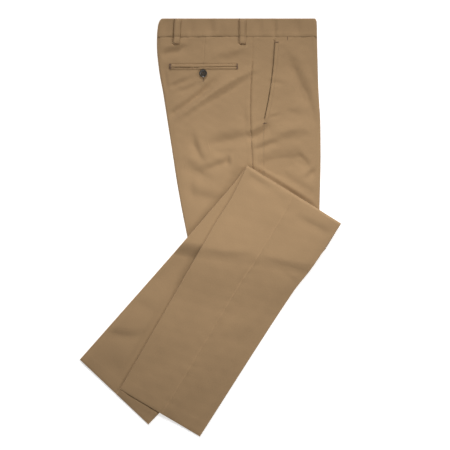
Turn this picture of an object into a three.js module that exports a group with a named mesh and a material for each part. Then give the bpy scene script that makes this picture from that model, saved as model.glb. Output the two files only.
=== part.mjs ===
// Chino trousers lying on their left side, legs folded up over the hip and down again.
// Millimetres, +Z up, resting on z = 0. +Y runs towards the waist, +X towards the front of the garment.
import * as THREE from 'three';

// Driving dimensions of the cloth
const CLOTH = 1.0; // one wall of twill
const BAND_CLOTH = 2.0; // the waistband is folded double over its lining
const SEAM_GAP = 0.3; // between neighbouring pieces
const LAYER_GAP = 0.7; // between layers that lie on each other
const LEG_THICK = 2.3; // a leg pressed flat: two walls and the air between them
const LEG_STEP = LEG_THICK + LAYER_GAP;

// Heights of the stack
const HIP_TOP = 7.5; // top of the hip, pocket bags inside
const HIP_EDGE = 5.6; // height of the soft fold down its sides
const EDGE_SOFTNESS = 15; // how far in from a side fold the hip reaches its level
const HIP_CROWN = { rise: 2.2, y: 260, reach: 140 }; // extra rise over the pocket bags
const WAIST_DIP = { depth: 0.7, startY: 360 }; // the panels lie lower than the waistband
const BLOCK_BOTTOM = 8.0; // hidden stretch of both legs
const BLOCK_TOP = 13.5;
const FAR_LEG_BASE = HIP_TOP + 3 * LAYER_GAP + 2 * LEG_THICK;
const TURN_UNDER = 25; // how far the right panels roll under the hip

// Lines across the hip
const BAND_TOP_Y = 417.5;
const BAND_SEAM_Y = 381.3;
const PANEL_TOP_Y = BAND_SEAM_Y - SEAM_GAP;
const FOLD1_LEFT = [-40.5, -42.5]; // first fold, where the hip stretch turns up over itself
const FOLD1_RIGHT = [201.5, -80.5];

// The two side folds of the hip, from the waist down
const SEAT_FOLD = [
  { y: 417.5, x: -98 }, { y: 411, x: -102.2 }, { y: 403, x: -104.6 }, { y: 384, x: -106.5 },
  { y: 355, x: -106.5 }, { y: 335, x: -104.8 }, { y: 303, x: -100.5 }, { y: 271, x: -94.5 },
  { y: 207, x: -84.5 }, { y: 143, x: -74.5 }, { y: 79, x: -64.5 }, { y: 15, x: -52.5 }, { y: -42.5, x: -40.5 },
];
const FRONT_FOLD = [
  { y: 417.5, x: 210.5 }, { y: 411, x: 212.8 }, { y: 384, x: 213.5 }, { y: 335, x: 214.5 },
  { y: 271, x: 216.5 }, { y: 223, x: 219.5 }, { y: 175, x: 220.5 }, { y: 127, x: 220.5 },
  { y: 47, x: 218.5 }, { y: -4, x: 217.3 }, { y: -44, x: 211.5 }, { y: -80.5, x: 201.5 },
];
const OUTSEAM = [
  { y: 400, x: 85 }, { y: 331, x: 84.1 }, { y: 275, x: 80.9 }, { y: 195, x: 80.9 }, { y: 125, x: 84.5 }, { y: -90, x: 84 },
];
const POCKET_MOUTH = [
  { y: 400, x: 131.2 }, { y: 349, x: 127.9 }, { y: 325, x: 126.1 }, { y: 291, x: 122.1 }, { y: 255, x: 116.3 }, { y: 200, x: 105 },
];
const MOUTH_END_Y = 213;

// Legs below the second fold: crease lines from the fold to the hem
const RIGHT_LEG = {
  left: [
    { t: 0, x: 73.1, y: 124.5 }, { t: 0.045, x: 64, y: 104 }, { t: 0.15, x: 40.3, y: 57.9 },
    { t: 0.25, x: 15, y: 18 }, { t: 0.37, x: -19, y: -40.5 }, { t: 1, x: -180.5, y: -322 },
  ],
  right: [
    { t: 0, x: 261.5, y: 8.5 }, { t: 0.21, x: 201.5, y: -81.5 }, { t: 0.33, x: 165.5, y: -128.5 }, { t: 1, x: -20.5, y: -417.5 },
  ],
  seam: { atFold: 0.5, atHem: 0.53 },
};
const LEFT_LEG = {
  left: [
    { t: 0, x: 69.8, y: 119.5 }, { t: 0.09, x: 46.3, y: 88.1 }, { t: 0.21, x: 9.5, y: 45.5 },
    { t: 0.37, x: -44.5, y: -17.5 }, { t: 1, x: -261, y: -263.3 },
  ],
  right: [{ t: 0, x: 236, y: -20 }, { t: 1, x: -123.5, y: -393.5 }],
  seam: { atFold: 0.5, atHem: 0.54 },
};

// Past the first fold the lower legs come down from the stack, steep at first and then easing off
const DROP_START = -6;
const LEFT_DROP_END = 36;
const RIGHT_DROP_END = 62;
const DROP_LEAN = 0.6; // below 1, the steepest place lies nearer the fold
const DROP_LINES = [-20, -6, -1, 4, 10, 17, 26, 36, 48, 62];
// Corner of the folded legs that droops past the hip
const DROOP = 5;
const DROOP_X = 205;
const DROOP_LENGTH = 60;
const STEP_START = 3; // where the right leg starts to fall off the left leg's edge
const STEP_END = 33;
const STUB_LENGTH = 19; // hidden return of a leg behind the second fold
const CREASE_LENGTH = 513; // of a leg, from the second fold to the hem
const INSIDE_TURN = 5.5; // depth behind the second fold where its heights are read

// Largest drag lines of the hip: a soft trough along a bent line from start over middle to end
const DRAG_LINES = [
  { x1: -58, y1: 361, xm: -78, ym: 355, x2: -92, y2: 345, depth: 0.8, width: 7 },
  { x1: 76, y1: 298, xm: 0, ym: 249, x2: -71, y2: 222, depth: 2.0, width: 9 },
  { x1: 17, y1: 287, xm: -12, ym: 262, x2: -48, y2: 248, depth: 1.1, width: 7 },
  { x1: -36, y1: 297, xm: -53, ym: 286, x2: -69, y2: 278, depth: 0.9, width: 7 },
  { x1: 0, y1: 351, xm: 38, ym: 349, x2: 76, y2: 340, depth: 0.7, width: 8 },
  { x1: 92, y1: 158, xm: 137, ym: 136, x2: 194, y2: 128, depth: 1.8, width: 9 },
  { x1: 67, y1: 186, xm: 86, ym: 194, x2: 104, y2: 195, depth: 0.9, width: 8 },
  { x1: 168, y1: 322, xm: 203, ym: 275, x2: 213, y2: 224, depth: 1.3, width: 12 },
  { x1: -22, y1: 203, xm: -15, ym: 178, x2: -20, y2: 152, depth: 0.7, width: 9 },
];

// Pieces sewn on
const LOOPS = [
  { name: 'belt_loop_right_back', topX: -64.5, bottomX: -67.9, topY: 416.5, bottomY: 366.5, width: 12 },
  { name: 'belt_loop_right_side', topX: 64.5, bottomX: 64.5, topY: 416.5, bottomY: 366.5, width: 12 },
];
const LOOP_CLOTH = 1.6;
const WELT = { left: -83, right: 55.5, top: 326.7, bottom: 316.1, slitLeft: 320.8, slitRight: 323, cloth: 1.0, lift: 0.45 };
const BUTTON = { x: -14.1, y: 307.6, radius: 7.9, thick: 2.6, rim: 1.2, lift: 0.5 };

const khaki = { color: 0x9c8263, roughness: 0.9, metalness: 0 };
const horn = { color: 0x3a2d24, roughness: 0.35, metalness: 0 };

const group = new THREE.Group();

const smooth = (from, to, value) => THREE.MathUtils.smoothstep(value, from, to);
const mix = THREE.MathUtils.lerp;

// Value of one column of a table at a place along another, with rounded slopes between rows
function along(rows, key, place, column) {
  const rising = rows[rows.length - 1][key] > rows[0][key];
  const sorted = rising ? rows : [...rows].reverse();
  let i = 1;
  while (i < sorted.length - 1 && sorted[i][key] < place) i += 1;
  const [a, b] = [sorted[i - 1], sorted[i]];
  const [before, after] = [sorted[i - 2] ?? a, sorted[i + 1] ?? b];
  const span = b[key] - a[key];
  const t = THREE.MathUtils.clamp((place - a[key]) / span, 0, 1);
  const slopeA = (span * (b[column] - before[column])) / (b[key] - before[key]);
  const slopeB = (span * (after[column] - a[column])) / (after[key] - a[key]);
  const t2 = t * t;
  const t3 = t2 * t;
  return (2 * t3 - 3 * t2 + 1) * a[column] + (t3 - 2 * t2 + t) * slopeA
    + (3 * t2 - 2 * t3) * b[column] + (t3 - t2) * slopeB;
}

// Adds a closed mesh with its faces pointing out
function addSolid(name, finish, points, faces) {
  let volume = 0;
  for (const [a, b, c] of faces) {
    volume += points[a].dot(new THREE.Vector3().crossVectors(points[b], points[c]));
  }
  const turned = volume < 0 ? faces.map(([a, b, c]) => [a, c, b]) : faces;
  const geometry = new THREE.BufferGeometry().setFromPoints(points);
  geometry.setIndex(turned.flat());
  geometry.computeVertexNormals();
  const mesh = new THREE.Mesh(geometry, new THREE.MeshStandardMaterial(finish));
  mesh.name = name;
  group.add(mesh);
  return mesh;
}

// A wall of cloth: rows of columns, each column an outer and an inner point
function addWall(name, rows) {
  const columns = rows[0].length;
  const last = rows.length - 1;
  const points = rows.flat(2);
  const outer = (i, k) => 2 * (i * columns + k);
  const inner = (i, k) => outer(i, k) + 1;
  const faces = [];
  const quad = (a, b, c, d) => faces.push([a, b, c], [a, c, d]);
  for (let i = 0; i < last; i += 1) {
    for (let k = 0; k < columns - 1; k += 1) {
      quad(outer(i, k), outer(i, k + 1), outer(i + 1, k + 1), outer(i + 1, k));
      quad(inner(i, k), inner(i + 1, k), inner(i + 1, k + 1), inner(i, k + 1));
    }
    const edge = columns - 1;
    quad(outer(i, 0), outer(i + 1, 0), inner(i + 1, 0), inner(i, 0));
    quad(outer(i + 1, edge), outer(i, edge), inner(i, edge), inner(i + 1, edge));
  }
  for (let k = 0; k < columns - 1; k += 1) {
    quad(outer(0, k + 1), outer(0, k), inner(0, k), inner(0, k + 1));
    quad(outer(last, k), outer(last, k + 1), inner(last, k + 1), inner(last, k));
  }
  addSolid(name, khaki, points, faces);
}

// A solid through closed rings of equal length, flat at both ends
function addRings(name, finish, rings) {
  const count = rings[0].length;
  const faces = [];
  for (let i = 0; i < rings.length - 1; i += 1) {
    for (let k = 0; k < count; k += 1) {
      const next = (k + 1) % count;
      const [a, b, c, d] = [i * count + k, i * count + next, (i + 1) * count + next, (i + 1) * count + k];
      faces.push([a, b, c], [a, c, d]);
    }
  }
  const cap = (ring) => {
    const start = ring[0];
    const flat = ring.map((p) => new THREE.Vector2(Math.hypot(p.x - start.x, p.y - start.y) * Math.sign(p.x - start.x), p.z));
    return THREE.ShapeUtils.triangulateShape(flat, []);
  };
  const turned = THREE.ShapeUtils.isClockWise(rings[0].map((p) => new THREE.Vector2(p.x, p.z)));
  const end = (rings.length - 1) * count;
  for (const [a, b, c] of cap(rings[0])) faces.push(turned ? [a, b, c] : [a, c, b]);
  for (const [a, b, c] of cap(rings[rings.length - 1])) {
    faces.push(turned ? [a + end, c + end, b + end] : [a + end, b + end, c + end]);
  }
  addSolid(name, finish, rings.flat(), faces);
}

// Distance past the first fold, measured square to it; negative on the hip
const fold1Length = Math.hypot(FOLD1_RIGHT[0] - FOLD1_LEFT[0], FOLD1_RIGHT[1] - FOLD1_LEFT[1]);
const fold1Across = [(FOLD1_RIGHT[0] - FOLD1_LEFT[0]) / fold1Length, (FOLD1_RIGHT[1] - FOLD1_LEFT[1]) / fold1Length];
const pastFold1 = (x, y) => (x - FOLD1_LEFT[0]) * fold1Across[1] - (y - FOLD1_LEFT[1]) * fold1Across[0];

const droop = (x) => DROOP * smooth(0, DROOP_LENGTH, x - DROOP_X);

// Underside of each leg where it lies
const farEdge = LEFT_LEG.right;
const farEdgeLength = Math.hypot(farEdge[1].x - farEdge[0].x, farEdge[1].y - farEdge[0].y);
const farEdgeAlong = [(farEdge[1].x - farEdge[0].x) / farEdgeLength, (farEdge[1].y - farEdge[0].y) / farEdgeLength];
const pastFarEdge = (x, y) => (y - farEdge[0].y) * farEdgeAlong[0] - (x - farEdge[0].x) * farEdgeAlong[1];

function stackHeight(x, y, dropEnd) {
  const past = pastFold1(x, y);
  const fallen = Math.min(Math.max((past - DROP_START) / (dropEnd - DROP_START), 0), 1) ** DROP_LEAN;
  const stack = FAR_LEG_BASE * (1 - smooth(0, 1, fallen));
  return past > 0 ? stack : stack - droop(x);
}

const underLeftLeg = (x, y) => stackHeight(x, y, LEFT_DROP_END);

function underRightLeg(x, y) {
  return stackHeight(x, y, RIGHT_DROP_END) + LEG_STEP * (1 - smooth(STEP_START, STEP_END, pastFarEdge(x, y)));
}

// Hip: v runs from the waist seam (0) to the fold (1), u from the seat fold (0) to the front fold (1)
const HIP_END = 8.3; // the hip panels stop this far before the fold's crown

function hipLine(v) {
  const leftY = mix(PANEL_TOP_Y, FOLD1_LEFT[1], v);
  const rightY = mix(PANEL_TOP_Y, FOLD1_RIGHT[1], v);
  const left = new THREE.Vector2(along(SEAT_FOLD, 'y', leftY, 'x'), leftY);
  const right = new THREE.Vector2(along(FRONT_FOLD, 'y', rightY, 'x'), rightY);
  const width = left.distanceTo(right);
  return { left, right, width, across: right.clone().sub(left).divideScalar(width) };
}

function troughs(x, y) {
  let depth = 0;
  for (const line of DRAG_LINES) {
    let nearest = Infinity;
    let place = 0;
    for (let i = 0; i <= 16; i += 1) {
      const t = i / 16;
      const px = (1 - t) ** 2 * line.x1 + 2 * t * (1 - t) * line.xm + t * t * line.x2;
      const py = (1 - t) ** 2 * line.y1 + 2 * t * (1 - t) * line.ym + t * t * line.y2;
      const distance = Math.hypot(x - px, y - py);
      if (distance < nearest) {
        nearest = distance;
        place = t;
      }
    }
    const fade = 0.35 + 0.65 * Math.sin(Math.PI * place);
    depth += line.depth * fade * Math.exp(-((nearest / line.width) ** 2));
  }
  return depth;
}

// Top surface of the hip without and with its drag lines
function hipLevel(y, width, fromLeft) {
  const fromEdge = Math.min(fromLeft, width - fromLeft) - HIP_EDGE / 2;
  const rise = 1 - Math.exp(-Math.max(fromEdge, 0) / EDGE_SOFTNESS);
  const reach = THREE.MathUtils.clamp((y - HIP_CROWN.y) / HIP_CROWN.reach, -1, 1);
  const arch = Math.cos((Math.PI / 2) * reach) ** 2 * Math.sin((Math.PI * fromLeft) / width) ** 1.2;
  const crown = HIP_CROWN.rise * arch;
  const waistDip = WAIST_DIP.depth * smooth(WAIST_DIP.startY, PANEL_TOP_Y, y);
  return HIP_EDGE + (HIP_TOP - HIP_EDGE) * rise + crown - waistDip;
}

function hipTop(x, y, width, fromLeft) {
  const fromEdge = Math.min(fromLeft, width - fromLeft) - HIP_EDGE / 2;
  return hipLevel(y, width, fromLeft) - troughs(x, y) * smooth(0, EDGE_SOFTNESS, fromEdge);
}

// Where a seam crosses a line of the hip, as a distance from the seat fold
function seamAt(line, seam) {
  let fromLeft = line.width / 2;
  for (let turn = 0; turn < 4; turn += 1) {
    const y = line.left.y + line.across.y * fromLeft;
    fromLeft = (along(seam, 'y', y, 'x') - line.left.x) / line.across.x;
  }
  return fromLeft;
}

const hipPoint = (line, fromLeft, z) => new THREE.Vector3(
  line.left.x + line.across.x * fromLeft,
  line.left.y + line.across.y * fromLeft,
  z,
);

function topColumn(line, fromLeft) {
  const flat = hipPoint(line, fromLeft, 0);
  const z = hipTop(flat.x, flat.y, line.width, fromLeft);
  return [hipPoint(line, fromLeft, z), hipPoint(line, fromLeft, z - CLOTH)];
}

// The rolled edge of a hip panel: hidden return, round nose, ready to join the top wall
function rolledEdge(line, side, cloth, height) {
  const radius = height / 2;
  const distance = (fromEdge) => (side === 'seat' ? fromEdge : line.width - fromEdge);
  const columns = [TURN_UNDER, TURN_UNDER / 2].map((fromEdge) => (
    [hipPoint(line, distance(fromEdge), 0), hipPoint(line, distance(fromEdge), cloth)]
  ));
  for (const degrees of [-90, -45, 0, 45]) {
    const angle = THREE.MathUtils.degToRad(degrees);
    const at = (r) => hipPoint(line, distance(radius - r * Math.cos(angle)), radius + r * Math.sin(angle));
    columns.push([at(radius), at(radius - cloth)]);
  }
  return columns;
}

// Stations down the hip, closest together where the drag lines are
const HIP_ROWS = 30;
const lastV = 1 - HIP_END / (PANEL_TOP_Y - FOLD1_LEFT[1]);
const hipRows = Array.from({ length: HIP_ROWS + 1 }, (_, i) => lastV * (i / HIP_ROWS) ** 1.15);

const spread = (from, to, count) => Array.from({ length: count + 1 }, (_, i) => mix(from, to, i / count));

function addHipPanels() {
  const back = hipRows.map((v) => {
    const line = hipLine(v);
    const seam = seamAt(line, OUTSEAM) - SEAM_GAP / 2;
    const top = [HIP_EDGE / 2, 10, ...spread(24, seam, 9)].map((d) => topColumn(line, d));
    return [...rolledEdge(line, 'seat', CLOTH, HIP_EDGE), ...top];
  });
  addWall('right_back_hip', back);

  const mouthEnd = (PANEL_TOP_Y - MOUTH_END_Y) / (PANEL_TOP_Y - FOLD1_LEFT[1]);
  const frontRows = [...hipRows.filter((v) => Math.abs(v - mouthEnd) > 0.012), mouthEnd - 0.0015, mouthEnd + 0.0015];
  const front = frontRows.sort((a, b) => a - b).map((v) => {
    const line = hipLine(v);
    const seam = v < mouthEnd ? seamAt(line, POCKET_MOUTH) : seamAt(line, OUTSEAM);
    const start = seam + SEAM_GAP / 2;
    const top = [...spread(start, line.width - 24, 6), line.width - 10, line.width - HIP_EDGE / 2];
    const edge = rolledEdge(line, 'front', CLOTH, HIP_EDGE).reverse();
    return [...top.map((d) => topColumn(line, d)), ...edge];
  });
  addWall('right_front_hip', front);

  const facingRows = spread(0, mouthEnd - 0.0028, 12);
  addWall('right_pocket_facing', facingRows.map((v) => {
    const line = hipLine(v);
    const from = seamAt(line, OUTSEAM) + SEAM_GAP / 2;
    const to = seamAt(line, POCKET_MOUTH) - SEAM_GAP / 2;
    return spread(from, to, 3).map((d) => topColumn(line, d));
  }));

  // The left side lies flat on the surface between the two turned-under edges
  const flatRows = hipRows.filter((_, i) => i % 3 === 0);
  const plate = (line, from, to) => spread(from, to, 1).map((d) => [hipPoint(line, d, CLOTH), hipPoint(line, d, 0)]);
  const inset = TURN_UNDER + SEAM_GAP;
  addWall('left_back_hip', flatRows.map((v) => {
    const line = hipLine(v);
    return plate(line, inset, line.width / 2 - SEAM_GAP / 2);
  }));
  addWall('left_front_hip', flatRows.map((v) => {
    const line = hipLine(v);
    return plate(line, line.width / 2 + SEAM_GAP / 2, line.width - inset);
  }));
}

// Pocket bags and turned-in layers between the two sides of the hip
const HIDDEN_INSET = 5; // from the side folds
const UNDER_TROUGHS = 2.4; // room for the deepest drag line above it

function addHiddenHip() {
  const setBack = 0.06; // share of the hip's length, so that the waist stays open
  const rings = spread(setBack, lastV - 0.002, 14).map((v) => {
    const line = hipLine(v);
    const level = (fromLeft) => {
      const flat = hipPoint(line, fromLeft, 0);
      return hipLevel(flat.y, line.width, fromLeft) - CLOTH - UNDER_TROUGHS;
    };
    const low = CLOTH + SEAM_GAP;
    const [start, end] = [HIDDEN_INSET, line.width - HIDDEN_INSET];
    const floor = spread(start + 1, end - 1, 3).map((d) => hipPoint(line, d, low));
    const top = spread(end - 6, start + 6, 9).map((d) => hipPoint(line, d, level(d)));
    return [...floor, hipPoint(line, end, low + 0.5), ...top, hipPoint(line, start, low + 0.5)];
  });
  addRings('hidden_hip_layers', khaki, rings);
}

// Waistband: the right half rolls under at both ends, the left half lies flat between them
function addWaistband() {
  const rowsY = [BAND_SEAM_Y, 396, 405, 411.5, 415.2, BAND_TOP_Y];
  const lines = rowsY.map((y) => {
    const left = new THREE.Vector2(along(SEAT_FOLD, 'y', y, 'x'), y);
    const right = new THREE.Vector2(along(FRONT_FOLD, 'y', y, 'x'), y);
    return { left, right, width: left.distanceTo(right), across: new THREE.Vector2(1, 0) };
  });
  addWall('waistband_right', lines.map((line) => {
    const top = spread(HIP_TOP / 2, line.width - HIP_TOP / 2, 10);
    const wall = top.map((d) => [hipPoint(line, d, HIP_TOP), hipPoint(line, d, HIP_TOP - BAND_CLOTH)]);
    const seat = rolledEdge(line, 'seat', BAND_CLOTH, HIP_TOP);
    const front = rolledEdge(line, 'front', BAND_CLOTH, HIP_TOP).reverse();
    return [...seat, ...wall, ...front];
  }));
  addWall('waistband_left', lines.map((line) => (
    [TURN_UNDER + SEAM_GAP, line.width - TURN_UNDER - SEAM_GAP].map((d) => (
      [hipPoint(line, d, BAND_CLOTH), hipPoint(line, d, 0)]
    ))
  )));
}

// Top of the hip or the waistband under a sewn-on piece
function surfaceAt(x, y) {
  if (y > BAND_SEAM_Y - 2) return HIP_TOP;
  const left = along(SEAT_FOLD, 'y', y, 'x');
  const right = along(FRONT_FOLD, 'y', y, 'x');
  return hipTop(x, y, right - left, x - left);
}

function addBeltLoops() {
  for (const loop of LOOPS) {
    const rows = [0, 0.08, 0.3, 0.5, 0.68, 0.74, 0.92, 1].map((t) => {
      const y = mix(loop.topY, loop.bottomY, t);
      const middle = mix(loop.topX, loop.bottomX, t);
      const arch = 0.9 * Math.sin(Math.PI * THREE.MathUtils.clamp(t / 0.7, 0, 1));
      return [-0.5, -0.34, 0, 0.34, 0.5].map((part) => {
        const x = middle + part * loop.width;
        const under = surfaceAt(x, y) + SEAM_GAP + arch;
        const round = Math.abs(part) === 0.5 ? 0.5 : 0;
        return [new THREE.Vector3(x, y, under + LOOP_CLOTH - round), new THREE.Vector3(x, y, under)];
      });
    });
    addWall(loop.name, rows);
  }
}

function addBackPocket() {
  const slit = (x) => mix(WELT.slitLeft, WELT.slitRight, (x - WELT.left) / (WELT.right - WELT.left));
  const strip = (name, lowY, highY) => addWall(name, spread(WELT.left, WELT.right, 8).map((x) => (
    [0, 0.25, 0.75, 1].map((part) => {
      const y = mix(lowY(x), highY(x), part);
      const under = surfaceAt(x, y) + WELT.lift;
      const round = part === 0 || part === 1 ? 0.3 : 0;
      return [new THREE.Vector3(x, y, under + WELT.cloth - round), new THREE.Vector3(x, y, under)];
    })
  )));
  strip('back_pocket_welt_upper', (x) => slit(x) + SEAM_GAP, () => WELT.top);
  strip('back_pocket_welt_lower', () => WELT.bottom, (x) => slit(x) - SEAM_GAP);

  const { radius, thick, rim } = BUTTON;
  const profile = [
    [0, 0], [radius - 1.6, 0], [radius, 1], [radius, thick - 0.5], [radius - 0.5, thick],
    [radius - rim - 0.6, thick], [radius - rim - 1.4, thick - 0.7], [0, thick - 0.7],
  ].map(([r, z]) => new THREE.Vector2(r, z));
  const turned = new THREE.LatheGeometry(profile, 24).rotateX(Math.PI / 2);
  const { points, faces } = joinedLathe(turned);
  const button = addSolid('back_pocket_button', horn, points, faces);
  button.position.set(BUTTON.x, BUTTON.y, surfaceAt(BUTTON.x, BUTTON.y) + BUTTON.lift);
}

// Points and faces of a turned profile, joined where it meets itself and on its axis
function joinedLathe(geometry) {
  const position = geometry.getAttribute('position');
  const points = [];
  const places = new Map();
  const rename = [];
  for (let i = 0; i < position.count; i += 1) {
    const point = new THREE.Vector3().fromBufferAttribute(position, i);
    const key = point.toArray().map((value) => value.toFixed(3)).join(' ').replaceAll('-0.000', '0.000');
    if (!places.has(key)) {
      places.set(key, points.length);
      points.push(point);
    }
    rename.push(places.get(key));
  }
  const faces = [];
  const index = geometry.index.array;
  for (let i = 0; i < index.length; i += 3) {
    const face = [rename[index[i]], rename[index[i + 1]], rename[index[i + 2]]];
    if (new Set(face).size === 3) faces.push(face);
  }
  return { points, faces };
}

// Outward direction of a leg's second fold, square to it in plan
function foldOut(leg) {
  const [a, b] = [leg.left[0], leg.right[0]];
  const length = Math.hypot(b.x - a.x, b.y - a.y);
  return new THREE.Vector3(-(b.y - a.y) / length, (b.x - a.x) / length, 0);
}

const farFoldOut = foldOut(LEFT_LEG);

// Depth behind a leg's second fold at which the hidden block begins
function stubDepth(leg, s) {
  const [a, b] = [leg.left[0], leg.right[0]];
  const out = foldOut(leg);
  const x = mix(a.x, b.x, s);
  const y = mix(a.y, b.y, s);
  const fromFarFold = (x - LEFT_LEG.left[0].x) * farFoldOut.x + (y - LEFT_LEG.left[0].y) * farFoldOut.y;
  return (fromFarFold + STUB_LENGTH) / out.dot(farFoldOut);
}

// Stations of a leg as places on its left and right crease: the fold, the drop off the stack, the hem
function legStations(leg, turnReach) {
  const edgePoint = (edge, t) => [along(edge, 't', t, 'x'), along(edge, 't', t, 'y')];
  const crossing = (edge, past) => {
    let [low, high] = [0, 1];
    for (let turn = 0; turn < 30; turn += 1) {
      const middle = (low + high) / 2;
      if (pastFold1(...edgePoint(edge, middle)) < past) low = middle;
      else high = middle;
    }
    return low;
  };
  const start = { left: turnReach / CREASE_LENGTH, right: turnReach / CREASE_LENGTH };
  const drops = DROP_LINES.map((past) => ({ left: crossing(leg.left, past), right: crossing(leg.right, past) }));
  const between = (a, b, count) => spread(0, 1, count).map((t) => ({ left: mix(a.left, b.left, t), right: mix(a.right, b.right, t) }));
  const upper = between(start, drops[0], 5).slice(0, -1);
  const lower = between(drops[drops.length - 1], { left: 1, right: 1 }, 8).slice(1);
  return [...upper, ...drops, ...lower];
}

// One leg: a flat tube from its hidden return, round the second fold, and down to the hem
function addLeg(leg, under, stubUnder, names) {
  const out = foldOut(leg);
  const up = new THREE.Vector3(0, 0, 1);
  const half = LEG_THICK / 2;
  const foldPoint = (s) => new THREE.Vector3(
    mix(leg.left[0].x, leg.right[0].x, s),
    mix(leg.left[0].y, leg.right[0].y, s),
    0,
  );
  const foldWidth = foldPoint(0).distanceTo(foldPoint(1));
  const turn = (s) => {
    const inside = foldPoint(s).addScaledVector(out, -INSIDE_TURN);
    const top = under(inside.x, inside.y) + half;
    const bottom = stubUnder - droop(inside.x) + half;
    const radius = (top - bottom) / 2;
    return { radius, centre: foldPoint(s).addScaledVector(out, -(radius + half)).setZ((top + bottom) / 2) };
  };

  const stations = [];
  for (const part of [1, 0.5]) {
    stations.push({
      width: foldWidth,
      normal: () => new THREE.Vector3(0, 0, -1),
      middle: (s) => {
        const { radius, centre } = turn(s);
        const point = centre.addScaledVector(out, -part * (stubDepth(leg, s) - radius - half - 1));
        return point.setZ(stubUnder - droop(point.x) + half);
      },
      seam: leg.seam.atFold,
    });
  }
  for (const degrees of [-90, -60, -30, 0, 30, 60, 90]) {
    const angle = THREE.MathUtils.degToRad(degrees);
    const normal = new THREE.Vector3().addScaledVector(out, Math.cos(angle)).addScaledVector(up, Math.sin(angle));
    stations.push({
      width: foldWidth,
      normal: () => normal,
      middle: (s) => {
        const { radius, centre } = turn(s);
        return centre.addScaledVector(normal, radius);
      },
      seam: leg.seam.atFold,
    });
  }
  const turnReach = turn(0.5).radius + half + 5;
  for (const station of legStations(leg, turnReach)) {
    const a = new THREE.Vector3(along(leg.left, 't', station.left, 'x'), along(leg.left, 't', station.left, 'y'), 0);
    const b = new THREE.Vector3(along(leg.right, 't', station.right, 'x'), along(leg.right, 't', station.right, 'y'), 0);
    stations.push({
      width: a.distanceTo(b),
      normal: () => up,
      middle: (s) => {
        const point = a.clone().lerp(b, s);
        return point.setZ(under(point.x, point.y) + half);
      },
      seam: mix(leg.seam.atFold, leg.seam.atHem, (station.left + station.right) / 2),
    });
  }

  const sides = [
    { name: names.left, edge: 0, sign: -1 },
    { name: names.right, edge: 1, sign: 1 },
  ];
  for (const side of sides) {
    const rows = stations.map((station) => {
      const { width, middle, normal, seam } = station;
      const crease = side.edge - (side.sign * half) / width;
      const start = seam + (side.sign * SEAM_GAP) / 2 / width;
      const places = [...[0, 0.24, 0.46, 0.66, 0.84].map((part) => mix(start, crease, part)), crease];
      const across = middle(1).sub(middle(0)).setZ(0).normalize();
      const wall = (s, facing) => [half, half - CLOTH].map((r) => middle(s).addScaledVector(normal(), r * facing));
      const nose = [45, 0, -45].map((degrees) => {
        const angle = THREE.MathUtils.degToRad(degrees);
        const centre = middle(crease);
        return [half, half - CLOTH].map((r) => centre.clone()
          .addScaledVector(across, side.sign * r * Math.cos(angle))
          .addScaledVector(normal(), r * Math.sin(angle)));
      });
      return [...places.map((s) => wall(s, 1)), ...nose, ...places.reverse().map((s) => wall(s, -1))];
    });
    addWall(side.name, rows);
  }
}

// Both legs between the folds, with the layered sides and the round nose of the first fold
function addHiddenFold() {
  const blockStart = (s) => {
    const [a, b] = [RIGHT_LEG.left[0], RIGHT_LEG.right[0]];
    const out = foldOut(RIGHT_LEG);
    return new THREE.Vector2(mix(a.x, b.x, s), mix(a.y, b.y, s))
      .sub(new THREE.Vector2(out.x, out.y).multiplyScalar(stubDepth(RIGHT_LEG, s)));
  };
  const foldLine = (s, past) => new THREE.Vector2(
    mix(FOLD1_LEFT[0], FOLD1_RIGHT[0], s) + past * fold1Across[1],
    mix(FOLD1_LEFT[1], FOLD1_RIGHT[1], s) - past * fold1Across[0],
  );
  const noseRadius = BLOCK_TOP / 2;
  const wallPast = -7.5;
  const levels = [];
  for (const part of [0, 0.25, 0.5, 0.75]) {
    levels.push({ at: (s) => blockStart(s).lerp(foldLine(s, wallPast - 0.3), part), low: BLOCK_BOTTOM, high: BLOCK_TOP });
  }
  levels.push({ at: (s) => foldLine(s, wallPast - 0.3), low: BLOCK_BOTTOM, high: BLOCK_TOP });
  levels.push({ at: (s) => foldLine(s, wallPast), low: 0, high: BLOCK_TOP });
  for (const degrees of [0, 25, 50, 68, 82]) {
    const angle = THREE.MathUtils.degToRad(degrees);
    const reach = noseRadius * Math.cos(angle);
    const past = noseRadius * (Math.sin(angle) - 1);
    levels.push({ at: (s) => foldLine(s, past), low: noseRadius - reach, high: noseRadius + reach });
  }
  const layers = [
    { part: 0, inset: 1.6 }, { part: 0.12, inset: 0.2 }, { part: 0.38, inset: 0.2 }, { part: 0.5, inset: 1.8 },
    { part: 0.62, inset: 0.2 }, { part: 0.88, inset: 0.2 }, { part: 1, inset: 1.6 },
  ];
  const rings = levels.map(({ at, low, high }) => {
    const width = at(0).distanceTo(at(1));
    const place = (s, part) => {
      const flat = at(s);
      return new THREE.Vector3(flat.x, flat.y, mix(low, high, part) - (low > 0 ? droop(flat.x) : 0));
    };
    const inner = spread(0, 1, 11).slice(1, -1);
    return [
      ...inner.map((s) => place(s, 0)),
      ...layers.map(({ part, inset }) => place(1 - inset / width, part)),
      ...[...inner].reverse().map((s) => place(s, 1)),
      ...[...layers].reverse().map(({ part, inset }) => place(inset / width, part)),
    ];
  });
  addRings('hidden_fold_layers', khaki, rings);
}

addHipPanels();
addHiddenHip();
addWaistband();
addBeltLoops();
addBackPocket();
addHiddenFold();
addLeg(LEFT_LEG, underLeftLeg, HIP_TOP + 2 * LAYER_GAP + LEG_THICK, { left: 'left_back_leg', right: 'left_front_leg' });
addLeg(RIGHT_LEG, underRightLeg, HIP_TOP + LAYER_GAP, { left: 'right_back_leg', right: 'right_front_leg' });

export default group;
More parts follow.
